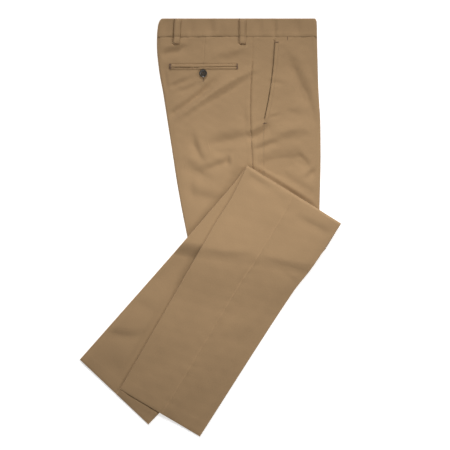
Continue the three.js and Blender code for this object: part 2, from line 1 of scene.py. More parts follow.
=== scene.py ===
# %% [markdown]
# # Chino trousers, folded flat
# The trousers lie on their left side on a pale floor, with the waist away from us. Both legs are folded up over
# the hip and then down again, so three layers of each leg lie on each other. A maker would call every cut
# piece by its own name, and so does this file: hip panels, pocket facing, waistband halves, belt loops, welts,
# leg panels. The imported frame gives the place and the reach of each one.

# %% Load the frame
import math

import bpy
import numpy as np
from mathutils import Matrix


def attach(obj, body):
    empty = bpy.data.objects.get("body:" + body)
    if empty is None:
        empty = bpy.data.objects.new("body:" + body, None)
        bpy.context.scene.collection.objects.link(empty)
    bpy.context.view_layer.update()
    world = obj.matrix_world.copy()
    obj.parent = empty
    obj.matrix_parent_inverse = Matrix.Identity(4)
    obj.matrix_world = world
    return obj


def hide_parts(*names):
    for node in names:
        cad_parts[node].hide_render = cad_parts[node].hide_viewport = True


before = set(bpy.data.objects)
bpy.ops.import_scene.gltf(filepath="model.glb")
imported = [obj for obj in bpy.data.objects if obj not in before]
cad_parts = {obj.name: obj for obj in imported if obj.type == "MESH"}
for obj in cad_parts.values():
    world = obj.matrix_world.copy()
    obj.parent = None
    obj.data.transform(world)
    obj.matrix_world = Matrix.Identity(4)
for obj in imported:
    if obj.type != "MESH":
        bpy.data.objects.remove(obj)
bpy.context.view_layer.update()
MM = 0.001

# %% [markdown]
# ## Sizes
# A pattern cutter works in millimetres, and the sheet builder further down turns them into metres. The first
# numbers describe the cloth and the stack of layers, the tables describe lines on the garment: its two side
# folds, its seams and the creases of the legs. A row of a table is one place on such a line.

# %% Cloth and layers
TWILL = 0.8                # thickness of one wall
SEAM_GAP = 0.3
LAYER_GAP = 0.7
LEG_THICK = 2.3            # a pressed leg, two walls and the air between
LEG_STEP = LEG_THICK + LAYER_GAP
HIP_TOP = 7.5
HIP_EDGE = 5.6
EDGE_SOFTNESS = 15.0
TURN_UNDER = 25.0          # how far the right panels roll under the hip
LEFT_LEG_BASE = HIP_TOP + 3 * LAYER_GAP + 2 * LEG_THICK
BAND_TOP_Y = 417.5
BAND_SEAM_Y = 381.3
PANEL_TOP_Y = BAND_SEAM_Y - SEAM_GAP
FOLD1_LEFT = (-40.5, -42.5)
FOLD1_RIGHT = (201.5, -80.5)

# %% Lines on the hip, as rows of y and x
SEAT_FOLD = [
    (417.5, -98), (411, -102.2), (403, -104.6), (384, -106.5), (355, -106.5), (335, -104.8), (303, -100.5),
    (271, -94.5), (207, -84.5), (143, -74.5), (79, -64.5), (15, -52.5), (-42.5, -40.5),
]
FRONT_FOLD = [
    (417.5, 210.5), (411, 212.8), (384, 213.5), (335, 214.5), (271, 216.5), (223, 219.5), (175, 220.5),
    (127, 220.5), (47, 218.5), (-4, 217.3), (-44, 211.5), (-80.5, 201.5),
]
OUTSEAM = [(400, 85), (331, 84.1), (275, 80.9), (195, 80.9), (125, 84.5), (-90, 84)]
POCKET_MOUTH = [
    (400, 131.2), (349, 127.9), (325, 126.1), (291, 122.1), (255, 116.3), (213, 108.2), (190, 106.6), (120, 107), (-90, 107),
]
MOUTH_TOP_Y = 374.0
MOUTH_END_Y = 211.0

# %% Creases of the legs, as rows of share of length, x and y
RIGHT_LEG_LEFT = [
    (0, 73.1, 124.5), (0.045, 64, 104), (0.15, 40.3, 57.9), (0.25, 15, 18), (0.37, -19, -40.5), (1, -180.5, -322),
]
RIGHT_LEG_RIGHT = [(0, 261.5, 8.5), (0.21, 201.5, -81.5), (0.33, 165.5, -128.5), (1, -20.5, -417.5)]
LEFT_LEG_LEFT = [(0, 69.8, 119.5), (0.09, 46.3, 88.1), (0.21, 9.5, 45.5), (0.37, -44.5, -17.5), (1, -261, -263.3)]
LEFT_LEG_RIGHT = [(0, 236, -20), (1, -123.5, -393.5)]
# Past the first fold each lower leg comes down to the floor, first steeply and then slowly: start and end of the
# steep stretch, its share of the height, and start and end of the slow one.
LEFT_DROP = (-15.0, 18.0, 0.64, -8.0, 80.0)
RIGHT_DROP = (-11.0, 16.0, 0.22, -13.0, 115.0)
DROOP, DROOP_X, DROOP_LENGTH = 5.0, 205.0, 60.0
STEP_START, STEP_END = -2.0, 52.0         # the right leg falls off the edge of the left leg
STUB_LENGTH = 19.0
CREASE_LENGTH = 513.0

# %% [markdown]
# ## Helpers for lines and slopes
# A folded garment is smooth almost everywhere, so a line through a few rows is enough. The slope at each row is
# taken from its neighbours, which rounds the line the way cloth does.

# %% Lines and slopes
def along(table, place, column=1):
    """Value of a table's column at a place, with rounded slopes between its rows."""
    rows = sorted(table)
    x = np.array([row[0] for row in rows], float)
    y = np.array([row[column] for row in rows], float)
    slope = np.gradient(y, x) if len(x) > 2 else np.full(len(x), (y[-1] - y[0]) / (x[-1] - x[0]))
    if len(x) > 2:
        slope[1:-1] = (y[2:] - y[:-2]) / (x[2:] - x[:-2])
    i = np.clip(np.searchsorted(x, place) - 1, 0, len(x) - 2)
    span = x[i + 1] - x[i]
    t = np.clip((place - x[i]) / span, 0, 1)
    t2, t3 = t * t, t * t * t
    return (
        (2 * t3 - 3 * t2 + 1) * y[i]
        + (t3 - 2 * t2 + t) * slope[i] * span
        + (3 * t2 - 2 * t3) * y[i + 1]
        + (t3 - t2) * slope[i + 1] * span
    )


def smooth(start, end, value):
    t = np.clip((value - start) / (end - start), 0, 1)
    return t * t * (3 - 2 * t)


def mix(a, b, t):
    return a + (b - a) * t


print("seat fold at y 300:", round(float(along(SEAT_FOLD, 300.0)), 2))

# %% [markdown]
# ## Creases, one by one
# Drag lines on the hip come from the way it was laid down: cloth is pulled towards the pocket and the fold. Each
# one is a soft trough with a low ridge beside it, along a bent line from a start over a middle to an end. The
# numbers are listed one by one: no two have the same length, depth or width.

# %% Troughs along bent lines
HIP_DRAGS = [
    # start x, y, middle x, y, end x, y, depth, width; a negative depth is a ridge
    (-46, 360, -74, 352, -100, 344, 4.0, 7),
    (2, 343, 42, 352, 76, 363, -2.6, 9),
    (14, 297, -22, 258, -92, 217, 5.2, 6.5),
    (92, 319, 7, 275, -68, 221, -5.4, 7),
    (-34, 301, -56, 289, -82, 280, 2.4, 5),
    (-16, 290, -37, 278, -71, 269, 1.9, 5),
    (150, 349, 180, 288, 217, 204, 4.8, 11),
    (112, 291, 130, 289, 148, 286, 1.3, 5),
    (112, 218, 128, 221, 144, 227, 1.4, 4),
    (-4, 164, 46, 178, 86, 184, 3.8, 11),
    (72, 180, 98, 184, 118, 206, 5.8, 7),
    (122, 185, 160, 200, 198, 200, -4.0, 11),
    (134, 171, 112, 166, 88, 153, 3.4, 6),
    (90, 128, 140, 126, 188, 138, 5.6, 17),
    (170, 148, 187, 135, 198, 116, 3.4, 7),
    (-36, 188, -33, 154, -12, 130, 3.2, 7),
    (-54, 128, -26, 106, 6, 92, 3.4, 13),
    (-14, 111, 14, 126, 44, 135, 3.2, 7),
    (36, 146, 33, 136, 36, 122, 2.2, 4.5),
    (6, 152, 30, 149, 58, 150, 1.6, 7),
    (-40, 74, -8, 50, 30, 60, 2.8, 12),
    (-36, 102, -44, 80, -34, 56, 1.8, 8),
    (190, 94, 204, 108, 218, 119, 2.6, 7),
    (-92, 322, -95, 295, -84, 264, 1.6, 5),
    (-95, 210, -86, 176, -80, 150, 1.2, 8),
    (148, 234, 172, 224, 198, 229, 1.5, 8),
    (60, 244, 70, 214, 74, 192, 1.4, 8),
    (60, 120, 44, 104, 24, 66, 1.2, 8),
    (74, 125, 147, 82, 218, 36, 4.0, 5),
    (96, 130, 160, 96, 222, 56, 2.2, 10),
]
BAND_DRAGS = [
    (0, 382, 1, 398, 3, 416, 2.2, 7),
    (97, 383, 99, 398, 98, 416, 1.4, 6),
    (126, 381, 128, 398, 130, 417, 2.4, 4),
    (172, 384, 174, 398, 172, 416, 1.5, 8),
    (-40, 382, -38, 396, -36, 414, 1.1, 6),
    (-84, 416, -90, 398, -94, 382, 1.8, 7),
    (30, 384, 32, 398, 31, 412, -0.8, 7),
]


STEEP_X, STEEP_Y = 0.4, 0.9             # cloth breaks sharply on this side of a crease and eases out on the other


def trough_depth(x, y, drags, ridge=0.22):
    """Depth of all drag lines at points x, y, each with a low ridge beside it."""
    depth = np.zeros_like(x)
    for x1, y1, xm, ym, x2, y2, deep, width in drags:
        near = (
            (x > min(x1, xm, x2) - 4 * width) & (x < max(x1, xm, x2) + 4 * width)
            & (y > min(y1, ym, y2) - 4 * width) & (y < max(y1, ym, y2) + 4 * width)
        )
        if not near.any():
            continue
        px, py = x[near], y[near]
        best = np.full(px.shape, 1e9)
        side = np.zeros_like(px)
        place = np.zeros_like(px)
        for step in range(33):
            t = step / 32
            cx = (1 - t) ** 2 * x1 + 2 * t * (1 - t) * xm + t * t * x2
            cy = (1 - t) ** 2 * y1 + 2 * t * (1 - t) * ym + t * t * y2
            distance = np.hypot(px - cx, py - cy)
            closer = distance < best
            best = np.where(closer, distance, best)
            place = np.where(closer, t, place)
            side = np.where(closer, (px - cx) * STEEP_X + (py - cy) * STEEP_Y, side)
        fade = 0.15 + 0.85 * np.sin(np.pi * place) ** 0.8
        steep = 0.5 + 0.5 * np.tanh(side / (0.25 * width)) * np.sign(deep)
        core = np.exp(-((best / (width * mix(1.35, 0.9, steep))) ** 2))
        beside = np.exp(-(((best - 1.8 * width) / (0.8 * width)) ** 2))
        depth[near] += deep * fade * (core - ridge * beside * steep)
    return depth


def crumple(x, y, length, seed, waves=7):
    """Slow uneven waves, about 1 high, with no direction that stands out."""
    draw = np.random.default_rng(seed)
    total = np.zeros_like(x)
    for _ in range(waves):
        angle = draw.uniform(0, math.pi)
        size = length * draw.uniform(0.6, 1.7)
        phase = draw.uniform(0, 2 * math.pi)
        total += np.sin((x * math.cos(angle) + y * math.sin(angle)) * 2 * math.pi / size + phase)
    return total / math.sqrt(waves)


def pucker(distance, run, seed, reach=5.0, length=8.0):
    """Small gathers beside a sewn line: high on the line, gone at reach."""
    draw = np.random.default_rng(seed)
    total = np.zeros_like(run)
    for _ in range(4):
        total += np.sin(run * 2 * math.pi / (length * draw.uniform(0.7, 1.6)) + draw.uniform(0, 6.3))
    return 0.5 * total * np.exp(-((distance / reach) ** 2))


print("deepest drag line:", round(float(trough_depth(np.array([2.0]), np.array([251.0]), HIP_DRAGS)[0]), 2), "mm")

# %% [markdown]
# ## One way to make every sheet
# Cloth is cut flat and then laid. The same is done here: a grid primitive is the flat cut, with a UV map that keeps
# its size in metres for the weave, each of its points is then laid where the folded garment has it, and Solidify
# gives the wall its thickness towards the inside. A cloth simulation would also fold it, but the creases of the
# photo would not come out in their places, so they are laid one by one.

# %% Lay a flat cut onto the garment
def deselect():
    if bpy.context.mode != "OBJECT":
        bpy.ops.object.mode_set(mode="OBJECT")
    bpy.ops.object.select_all(action="DESELECT")


def gather_near(lines, crowd=3.0):
    """Columns of a grid drawn together near sewn lines. lines: share of the width and reach, both from 0 to 1."""
    places = np.linspace(0, 1, 2001)
    density = 1 + crowd * sum(np.exp(-(((places - at) / reach) ** 2)) for at, reach in lines)
    filled = np.concatenate([[0], np.cumsum((density[1:] + density[:-1]) / 2)])
    return lambda u: np.interp(u, filled / filled[-1], places)


def lay_sheet(name, columns, rows, place, cut_width, cut_length, wall=TWILL, gathered=None, rows_gathered=None):
    """A grid of columns by rows, laid by place(u, v) in millimetres, u and v from 0 to 1, as a closed wall."""
    deselect()
    bpy.ops.mesh.primitive_grid_add(x_subdivisions=columns, y_subdivisions=rows, size=1, calc_uvs=True)
    piece = bpy.context.object
    piece.name = name
    piece.data.name = name
    mesh = piece.data
    flat = np.empty(len(mesh.vertices) * 3, np.float32)
    mesh.vertices.foreach_get("co", flat)
    flat = flat.reshape(-1, 3).astype(float)
    u, v = np.clip(flat[:, 0] + 0.5, 0, 1), np.clip(flat[:, 1] + 0.5, 0, 1)
    u_laid = gathered(u) if gathered else u
    v = rows_gathered(v) if rows_gathered else v
    laid = place(u_laid, v)
    mesh.vertices.foreach_set("co", (laid * MM).astype(np.float32).ravel())
    corners = np.empty(len(mesh.loops), np.int32)
    mesh.loops.foreach_get("vertex_index", corners)
    on_cut = np.stack([u_laid * cut_width * MM, v * cut_length * MM], axis=1).astype(np.float32)
    uv = mesh.uv_layers[0]
    uv.name = "cut"
    uv.data.foreach_set("uv", on_cut[corners].ravel())
    mesh.update()
    return finish_sheet(piece, wall)


def wall_faces_out(piece):
    """True if the open sheet's faces look away from the side that the wall grows into."""
    mesh = piece.data
    normals = np.empty(len(mesh.polygons) * 3, np.float32)
    centres = np.empty(len(mesh.polygons) * 3, np.float32)
    mesh.polygons.foreach_get("normal", normals)
    mesh.polygons.foreach_get("center", centres)
    normals, centres = normals.reshape(-1, 3), centres.reshape(-1, 3)
    high = centres[:, 2] > np.quantile(centres[:, 2], 0.6)
    return normals[high, 2].sum() >= 0


def finish_sheet(piece, wall, top_faces_up=True):
    deselect()
    piece.select_set(True)
    bpy.context.view_layer.objects.active = piece
    if wall_faces_out(piece) != top_faces_up:
        bpy.ops.object.mode_set(mode="EDIT")
        bpy.ops.mesh.select_all(action="SELECT")
        bpy.ops.mesh.flip_normals()
        bpy.ops.object.mode_set(mode="OBJECT")
    thick = piece.modifiers.new("wall", "SOLIDIFY")
    thick.thickness = wall * MM
    thick.offset = -1
    thick.use_even_offset = False
    bpy.ops.object.modifier_apply(modifier=thick.name)
    bpy.ops.object.shade_smooth_by_angle(angle=math.radians(50))
    area = sum(p.area for p in piece.data.polygons) / 2
    print(f"{piece.name}: {len(piece.data.polygons)} faces, cloth {area:.4f} m2")
    return piece


def cells(length, step):
    return max(2, int(round(length / step)))


FINE = 2.4        # grid step of the large sheets
print("grid step", FINE, "mm")

# %% [markdown]
# ## The hip
# Below the waistband the hip is two sides lying on each other, closed along the seat fold and the front fold. The
# right back panel and the right front panel roll round those folds and end on the floor side. A line across the
# hip is found from the two fold tables, and every point of a panel is a distance along that line.

# %% Lines across the hip
HIP_END = 8.3
HIP_LENGTH = PANEL_TOP_Y - FOLD1_LEFT[1]
LAST_V = 1 - HIP_END / HIP_LENGTH
TUCK = 1.3                 # the panels go this far under the waistband
FIRST_V = -TUCK / HIP_LENGTH


def waist_wave(x):
    """The waist seam is sewn by hand on soft cloth, so it wanders a little."""
    return 0.6 * np.sin(x / 36 + 1.0) + 0.35 * np.sin(x / 15.5 + 0.4)


def hip_line(v):
    """Left point, direction and width of the line across the hip at share v of its length."""
    left_y = mix(PANEL_TOP_Y, FOLD1_LEFT[1], v)
    right_y = mix(PANEL_TOP_Y, FOLD1_RIGHT[1], v)
    left_x, right_x = along(SEAT_FOLD, left_y), along(FRONT_FOLD, right_y)
    width = np.hypot(right_x - left_x, right_y - left_y)
    return left_x, left_y, (right_x - left_x) / width, (right_y - left_y) / width, width


def seam_distance(v, seam):
    """How far along the line at v a seam crosses it."""
    left_x, left_y, across_x, across_y, width = hip_line(v)
    distance = width / 2
    for _ in range(5):
        distance = (along(seam, left_y + across_y * distance) - left_x) / across_x
    return distance


def hip_height(x, y, from_left, width):
    """Top surface of the hip: soft edges, a crown over the pocket bags, drag lines and faint crumples."""
    from_edge = np.minimum(from_left, width - from_left) - HIP_EDGE / 2
    inside = np.maximum(from_edge, 0)
    rise = 1 - np.exp(-inside / EDGE_SOFTNESS)
    reach = np.clip((y - 260) / 140, -1, 1)
    share = np.clip(from_left / width, 0, 1)
    crown = 2.6 * np.cos(math.pi / 2 * reach) ** 2 * np.sin(math.pi * share) ** 1.2
    at_waist = smooth(348, PANEL_TOP_Y, y)
    held_up = at_waist * ((HIP_TOP - HIP_EDGE) * (1 - rise) * smooth(0, 5, inside) - 0.45)
    laid = HIP_EDGE + (HIP_TOP - HIP_EDGE) * rise + crown + held_up
    shown = smooth(0, 14, inside)
    open_part = smooth(20, 90, y + 0.55 * (x - 60))
    soft = 0.45 * crumple(x, y, 70, 3) + 0.16 * crumple(x, y, 26, 5)
    creased = np.maximum(laid + shown * (soft * open_part - trough_depth(x, y, HIP_DRAGS)), 3.4)
    return np.where(creased < 5, 3.4 + (creased - 3.4) ** 2 / 3.2 + 0.8 * smooth(3.4, 5, creased), creased)


def tuck(y):
    """How far a panel sinks where it goes under the waistband."""
    return 1.3 * smooth(-0.3, 0.5, y - PANEL_TOP_Y)


def edge_path(run, reach, radius):
    """Distance from the fold and height on a rolled edge: along the floor, round the fold, then on top."""
    floor = reach - radius
    bend = math.pi * radius
    angle = np.clip((run - floor) / radius, 0, math.pi) - math.pi / 2
    on_floor = run < floor
    past = run > floor + bend
    distance = np.where(on_floor, reach - run, radius - radius * np.cos(angle))
    distance = np.where(past, radius + run - floor - bend, distance)
    height = np.where(on_floor, 0.0, radius + radius * np.sin(angle))
    return distance, height, past


def outseam_dip(y):
    """The outseam is pressed flat near the waist, pulls tight below the pocket and is bridged at one place."""
    tight = smooth(340, 320, y)
    bridged = 0.85 * np.exp(-(((y - 174) / 5.5) ** 2))
    return 0.12 + 1.38 * tight * (1 - bridged)


def seam_shape(distance, run, seed, dip=0.75, allowance=9.0):
    """Height beside a sewn seam: it dips on the line, rises over the pressed-open allowance, and puckers."""
    line = -dip * np.exp(-((distance / (0.8 + 0.5 * np.abs(dip))) ** 2))
    ridge = 0.42 * smooth(0, 2.5, distance) * (1 - smooth(allowance - 1.5, allowance + 1.0, distance))
    return line + ridge + 0.16 * pucker(distance, run, seed)


# %% [markdown]
# ## Hip panels
# The back panel runs from its turned-under edge round the seat fold to the outseam. The front panel lies over the
# pocket facing: its mouth edge is folded double, so it stands a little higher and gapes in its upper half, where the
# photo is darkest. Below the mouth the edge of the pocket bag only shows as a faint line.

# %% Right back panel
RADIUS = HIP_EDGE / 2


DART_X = -13.5
DART_END_Y = 326.0


def dart_shape(x, y):
    """The dart above the back pocket: a short seam from the waist, with its fold pressed to one side."""
    from_dart = x - DART_X - 0.06 * (y - DART_END_Y)
    share = smooth(DART_END_Y - 3, DART_END_Y + 25, y)
    pressed = 0.22 * smooth(0, 1.2, from_dart) * (1 - smooth(5, 8, from_dart))
    return share * (pressed - 0.2 * np.exp(-((from_dart / 1.0) ** 2)))


WELT_LEFT, WELT_RIGHT = -83.0, 55.5
WELT_TOP, WELT_BOTTOM = 326.7, 316.1
SLIT_LEFT, SLIT_RIGHT = 319.9, 320.8


def slit_height(x):
    share = (x - WELT_LEFT) / (WELT_RIGHT - WELT_LEFT)
    sag = -0.5 * np.exp(-(((x + 34) / 42) ** 2))
    return mix(SLIT_LEFT, SLIT_RIGHT, smooth(0, 1, share)) + sag


def slit_shape(x, y):
    """The cut of the back pocket, where the panel turns down into the pocket between the welts."""
    inside = smooth(WELT_LEFT + 2, WELT_LEFT + 5, x) * (1 - smooth(WELT_RIGHT - 5, WELT_RIGHT - 2, x))
    ditch = 0.9 * np.exp(-(((y - WELT_TOP - 0.3) / 0.75) ** 2))
    return -inside * (3.2 * np.exp(-(((y - slit_height(x)) / 1.1) ** 2)) + ditch)


LOOP_WIDTH = 12.0
LOOP_TOP, LOOP_BOTTOM = 416.5, 366.5
LOOP_PLACES = {"belt_loop_right_back": (-64.5, -67.9), "belt_loop_right_side": (64.5, 64.5)}


def beside_loops(x, y):
    """The sewn loops pull the cloth in along their edges, more on the seat side."""
    pulled = np.zeros_like(x)
    for top_x, bottom_x in LOOP_PLACES.values():
        middle = mix(bottom_x, top_x, (y - LOOP_BOTTOM) / (LOOP_TOP - LOOP_BOTTOM))
        for edge, depth, reach in ((-LOOP_WIDTH / 2, 2.2, 0.9), (LOOP_WIDTH / 2, 0.7, 1.2)):
            pulled = pulled + depth * np.exp(-(((x - middle - 1.06 * edge) / reach) ** 2))
    pulled = pulled * smooth(LOOP_BOTTOM - 2, LOOP_BOTTOM, y)
    for _, bottom_x in LOOP_PLACES.values():
        across = 1 - smooth(LOOP_WIDTH / 2 - 1, LOOP_WIDTH / 2 + 0.6, np.abs(x - bottom_x))
        pulled = pulled + 2.2 * across * np.exp(-(((y - LOOP_BOTTOM + 0.3) / 0.9) ** 2))
    return pulled


def lay_back_panel(u, v):
    v = mix(FIRST_V, LAST_V, 1 - v)
    left_x, left_y, across_x, across_y, width = hip_line(v)
    seam = seam_distance(v, OUTSEAM) - SEAM_GAP / 2
    total = TURN_UNDER - RADIUS + math.pi * RADIUS + seam - RADIUS
    distance, height, on_top = edge_path(u * total, TURN_UNDER, RADIUS)
    x, y = left_x + across_x * distance, left_y + across_y * distance
    top = hip_height(x, y, distance, width) + seam_shape(seam - distance, y, 11, outseam_dip(y)) + dart_shape(x, y)
    top = top + slit_shape(x, y) - beside_loops(x, y)
    waist = smooth(0, 3.5, PANEL_TOP_Y - y)
    top = top - 0.2 * (1 - waist) + 0.12 * pucker(PANEL_TOP_Y - y, x, 12, reach=7) - tuck(y)
    height = height + tuck(y) * (distance > 3)
    y = y + waist_wave(x) * (1 - smooth(0, 30, PANEL_TOP_Y - y)) * on_top
    return np.stack([x, y, np.where(on_top, top, height)], axis=1)


BACK_WIDTH = 225.0
hip_rows = cells(HIP_LENGTH, FINE)
back_panel = lay_sheet(
    "right_back_panel_hip", cells(BACK_WIDTH, FINE * 0.8), hip_rows, lay_back_panel, BACK_WIDTH, HIP_LENGTH,
    gathered=gather_near([(1.0, 0.012), (0.552, 0.02), (0.275, 0.008), (0.878, 0.008)]),
    rows_gathered=gather_near([(1 - (PANEL_TOP_Y - y) / HIP_LENGTH, 0.012) for y in (323, 366)], crowd=6.0),
)

# %% Right front panel, from the pocket mouth to its turned-under edge
def mouth_shape(distance, y):
    """Height of the front panel beside the pocket mouth: doubled edge, topstitched fold, gape near the top."""
    in_mouth = smooth(MOUTH_END_Y, MOUTH_END_Y + 10, y) * (1 - smooth(MOUTH_TOP_Y - 8, MOUTH_TOP_Y + 2, y))
    gape = (0.8 + 1.3 * np.exp(-(((y - 340) / 26) ** 2))) * np.exp(-distance / 12)
    doubled = 0.45 * (1 - smooth(8.0, 12.5, distance)) + 0.55
    rounded = -0.5 * np.exp(-((distance / 0.6) ** 2))
    return in_mouth * (gape + doubled * np.exp(-distance / 60) + rounded)


def lay_front_panel(u, v):
    v = mix(FIRST_V, LAST_V, 1 - v)
    left_x, left_y, across_x, across_y, width = hip_line(v)
    in_mouth = smooth(MOUTH_END_Y, MOUTH_END_Y + 8, left_y) * (1 - smooth(MOUTH_TOP_Y - 8, MOUTH_TOP_Y, left_y))
    start = seam_distance(v, POCKET_MOUTH) + SEAM_GAP / 2 + 0.45 * in_mouth
    total = TURN_UNDER - RADIUS + math.pi * RADIUS + width - start - RADIUS
    reach, height, on_top = edge_path((1 - u) * total, TURN_UNDER, RADIUS)
    distance = width - reach
    x, y = left_x + across_x * distance, left_y + across_y * distance
    from_mouth = distance - start
    bag_line = -0.25 * np.exp(-((from_mouth / 1.6) ** 2)) * (1 - smooth(MOUTH_END_Y - 4, MOUTH_END_Y, y))
    top = hip_height(x, y, distance, width) + mouth_shape(from_mouth, y) + bag_line
    waist = smooth(0, 3.5, PANEL_TOP_Y - y)
    top = top - 0.2 * (1 - waist) + 0.12 * pucker(PANEL_TOP_Y - y, x, 14, reach=7) - tuck(y)
    height = height + tuck(y) * (reach > 3)
    y = y + waist_wave(x) * (1 - smooth(0, 30, PANEL_TOP_Y - y)) * on_top
    return np.stack([x, y, np.where(on_top, top, height)], axis=1)


FRONT_WIDTH = 138.0
front_panel = lay_sheet(
    "right_front_panel_hip", cells(FRONT_WIDTH, FINE * 0.9), hip_rows, lay_front_panel, FRONT_WIDTH, HIP_LENGTH,
    gathered=gather_near([(0.0, 0.02), (0.075, 0.015)]),
)

# %% Pocket facing and side strip, between the outseam and the mouth
def lay_facing(u, v):
    v = mix(FIRST_V, LAST_V, 1 - v)
    left_x, left_y, across_x, across_y, width = hip_line(v)
    pressed_shut = smooth(322, 340, left_y)
    start = seam_distance(v, OUTSEAM) + SEAM_GAP / 2 - pressed_shut * (SEAM_GAP + 0.1)
    mouth = seam_distance(v, POCKET_MOUTH)
    y_mouth = left_y + across_y * mouth
    tucked = smooth(MOUTH_END_Y, MOUTH_END_Y + 10, y_mouth) * (1 - smooth(MOUTH_TOP_Y - 4, MOUTH_TOP_Y + 4, y_mouth))
    end = mouth - SEAM_GAP / 2 + 14 * tucked
    distance = mix(start, end, u)
    x, y = left_x + across_x * distance, left_y + across_y * distance
    under = -tucked * (0.5 * smooth(3.0, 0, mouth - distance) + 2.4 * smooth(1.1, 0.1, mouth - distance))
    bag_line = -0.25 * np.exp(-(((mouth - distance) / 1.6) ** 2)) * (1 - tucked)
    top = hip_height(x, y, distance, width) + seam_shape(distance - start, y, 15, outseam_dip(y)) + under + bag_line
    waist = smooth(0, 3.5, PANEL_TOP_Y - y)
    top = top - 0.2 * (1 - waist) - tuck(y)
    y = y + waist_wave(x) * (1 - smooth(0, 30, PANEL_TOP_Y - y))
    return np.stack([x, y, top], axis=1)


FACING_WIDTH = 44.0
facing = lay_sheet(
    "right_pocket_facing_strip", cells(FACING_WIDTH, FINE * 0.7), hip_rows, lay_facing, FACING_WIDTH, HIP_LENGTH,
    gathered=gather_near([(0.0, 0.05), (0.71, 0.09)]),
)

# %% [markdown]
# ## The side that lies on the floor
# The left back and left front panels lie flat between the two turned-under edges and meet at the left outseam. The
# floor presses them flat, so they have no creases, only the dip of their seam. Inside the hip lie the pocket bags,
# which show a little through the open waist.

# %% Left hip panels
def lay_left_panel(from_share, to_share, seam_at_end):
    def place(u, v):
        v = mix(0, LAST_V, 1 - v)
        left_x, left_y, across_x, across_y, width = hip_line(v)
        inset = TURN_UNDER + SEAM_GAP
        edges = {0: inset, 0.5: width / 2, 1: width - inset}
        start, end = edges[from_share], edges[to_share]
        shift = SEAM_GAP / 2
        distance = mix(start + (0 if seam_at_end else shift), end - (shift if seam_at_end else 0), u)
        x, y = left_x + across_x * distance, left_y + across_y * distance
        to_seam = np.abs(distance - width / 2)
        z = TWILL + 0.25 * smooth(0, 2, to_seam) * (1 - smooth(8, 10, to_seam))
        return np.stack([x, y, z], axis=1)
    return place


LEFT_WIDTH = 134.0
left_back_panel = lay_sheet(
    "left_back_panel_hip", cells(LEFT_WIDTH, 5), cells(HIP_LENGTH, 8), lay_left_panel(0, 0.5, True), LEFT_WIDTH, HIP_LENGTH
)
left_front_panel = lay_sheet(
    "left_front_panel_hip", cells(LEFT_WIDTH, 5), cells(HIP_LENGTH, 8), lay_left_panel(0.5, 1, False), LEFT_WIDTH, HIP_LENGTH
)

# %% Pocket bags inside the hip
BAG_INSET = 9.0
BAG_LOW, BAG_THICK = 1.4, 2.6


def lay_bags(u, v):
    """A flat tube: under side, round edge, upper side, round edge."""
    v = mix(0.045, LAST_V - 0.004, 1 - v)
    left_x, left_y, across_x, across_y, width = hip_line(v)
    inner = width - 2 * BAG_INSET
    radius = BAG_THICK / 2
    straight = inner - 2 * radius
    run = u * (2 * straight + 2 * math.pi * radius)
    turn = math.pi * radius
    middle = BAG_LOW + radius
    on_top = run <= straight
    right_turn = (run > straight) & (run < straight + turn)
    below = (run >= straight + turn) & (run <= 2 * straight + turn)
    angle = np.where(right_turn, math.pi / 2 - (run - straight) / radius, -math.pi / 2 - (run - 2 * straight - turn) / radius)
    distance = np.where(on_top, radius + run, 0.0)
    distance = np.where(right_turn, radius + straight + radius * np.cos(angle), distance)
    distance = np.where(below, radius + 2 * straight + turn - run, distance)
    left_turn = run > 2 * straight + turn
    distance = np.where(left_turn, radius + radius * np.cos(angle), distance)
    z = np.where(on_top, middle + radius, middle + radius * np.sin(angle))
    z = np.where(below, middle - radius, z)
    distance = distance + BAG_INSET
    x, y = left_x + across_x * distance, left_y + across_y * distance
    z = z + 0.25 * crumple(x, y, 60, 31) * on_top
    beside = [hip_height(x + 5 * i, y + 5 * j, distance + 5 * i, width) for i, j in ((0, 0), (1, 1), (-1, 1), (1, -1), (-1, -1))]
    roof = np.min(beside, axis=0) - TWILL - 0.5
    return np.stack([x, y, np.where(on_top, np.minimum(z, roof), z)], axis=1)


BAG_LENGTH = HIP_LENGTH * (LAST_V - 0.05)
pocket_bags = lay_sheet("pocket_bags_inside", cells(600, 6), cells(HIP_LENGTH, 8), lay_bags, 590.0, BAG_LENGTH, wall=0.5)

# %% [markdown]
# ## Waistband
# The band is a strip folded double along its top edge. Its right half shows: it rolls under at both ends like the
# hip, and its top edge is rounded over. The left half lies on the floor. A gap of a few millimetres stays open
# between them, because that is where the wearer gets in.

# %% Waistband halves
BAND_HIGH = BAND_TOP_Y - BAND_SEAM_Y
BAND_RADIUS = HIP_TOP / 2
BAND_ROLL = 1.0


def band_line(y):
    left, right = along(SEAT_FOLD, y), along(FRONT_FOLD, y)
    return left, right - left


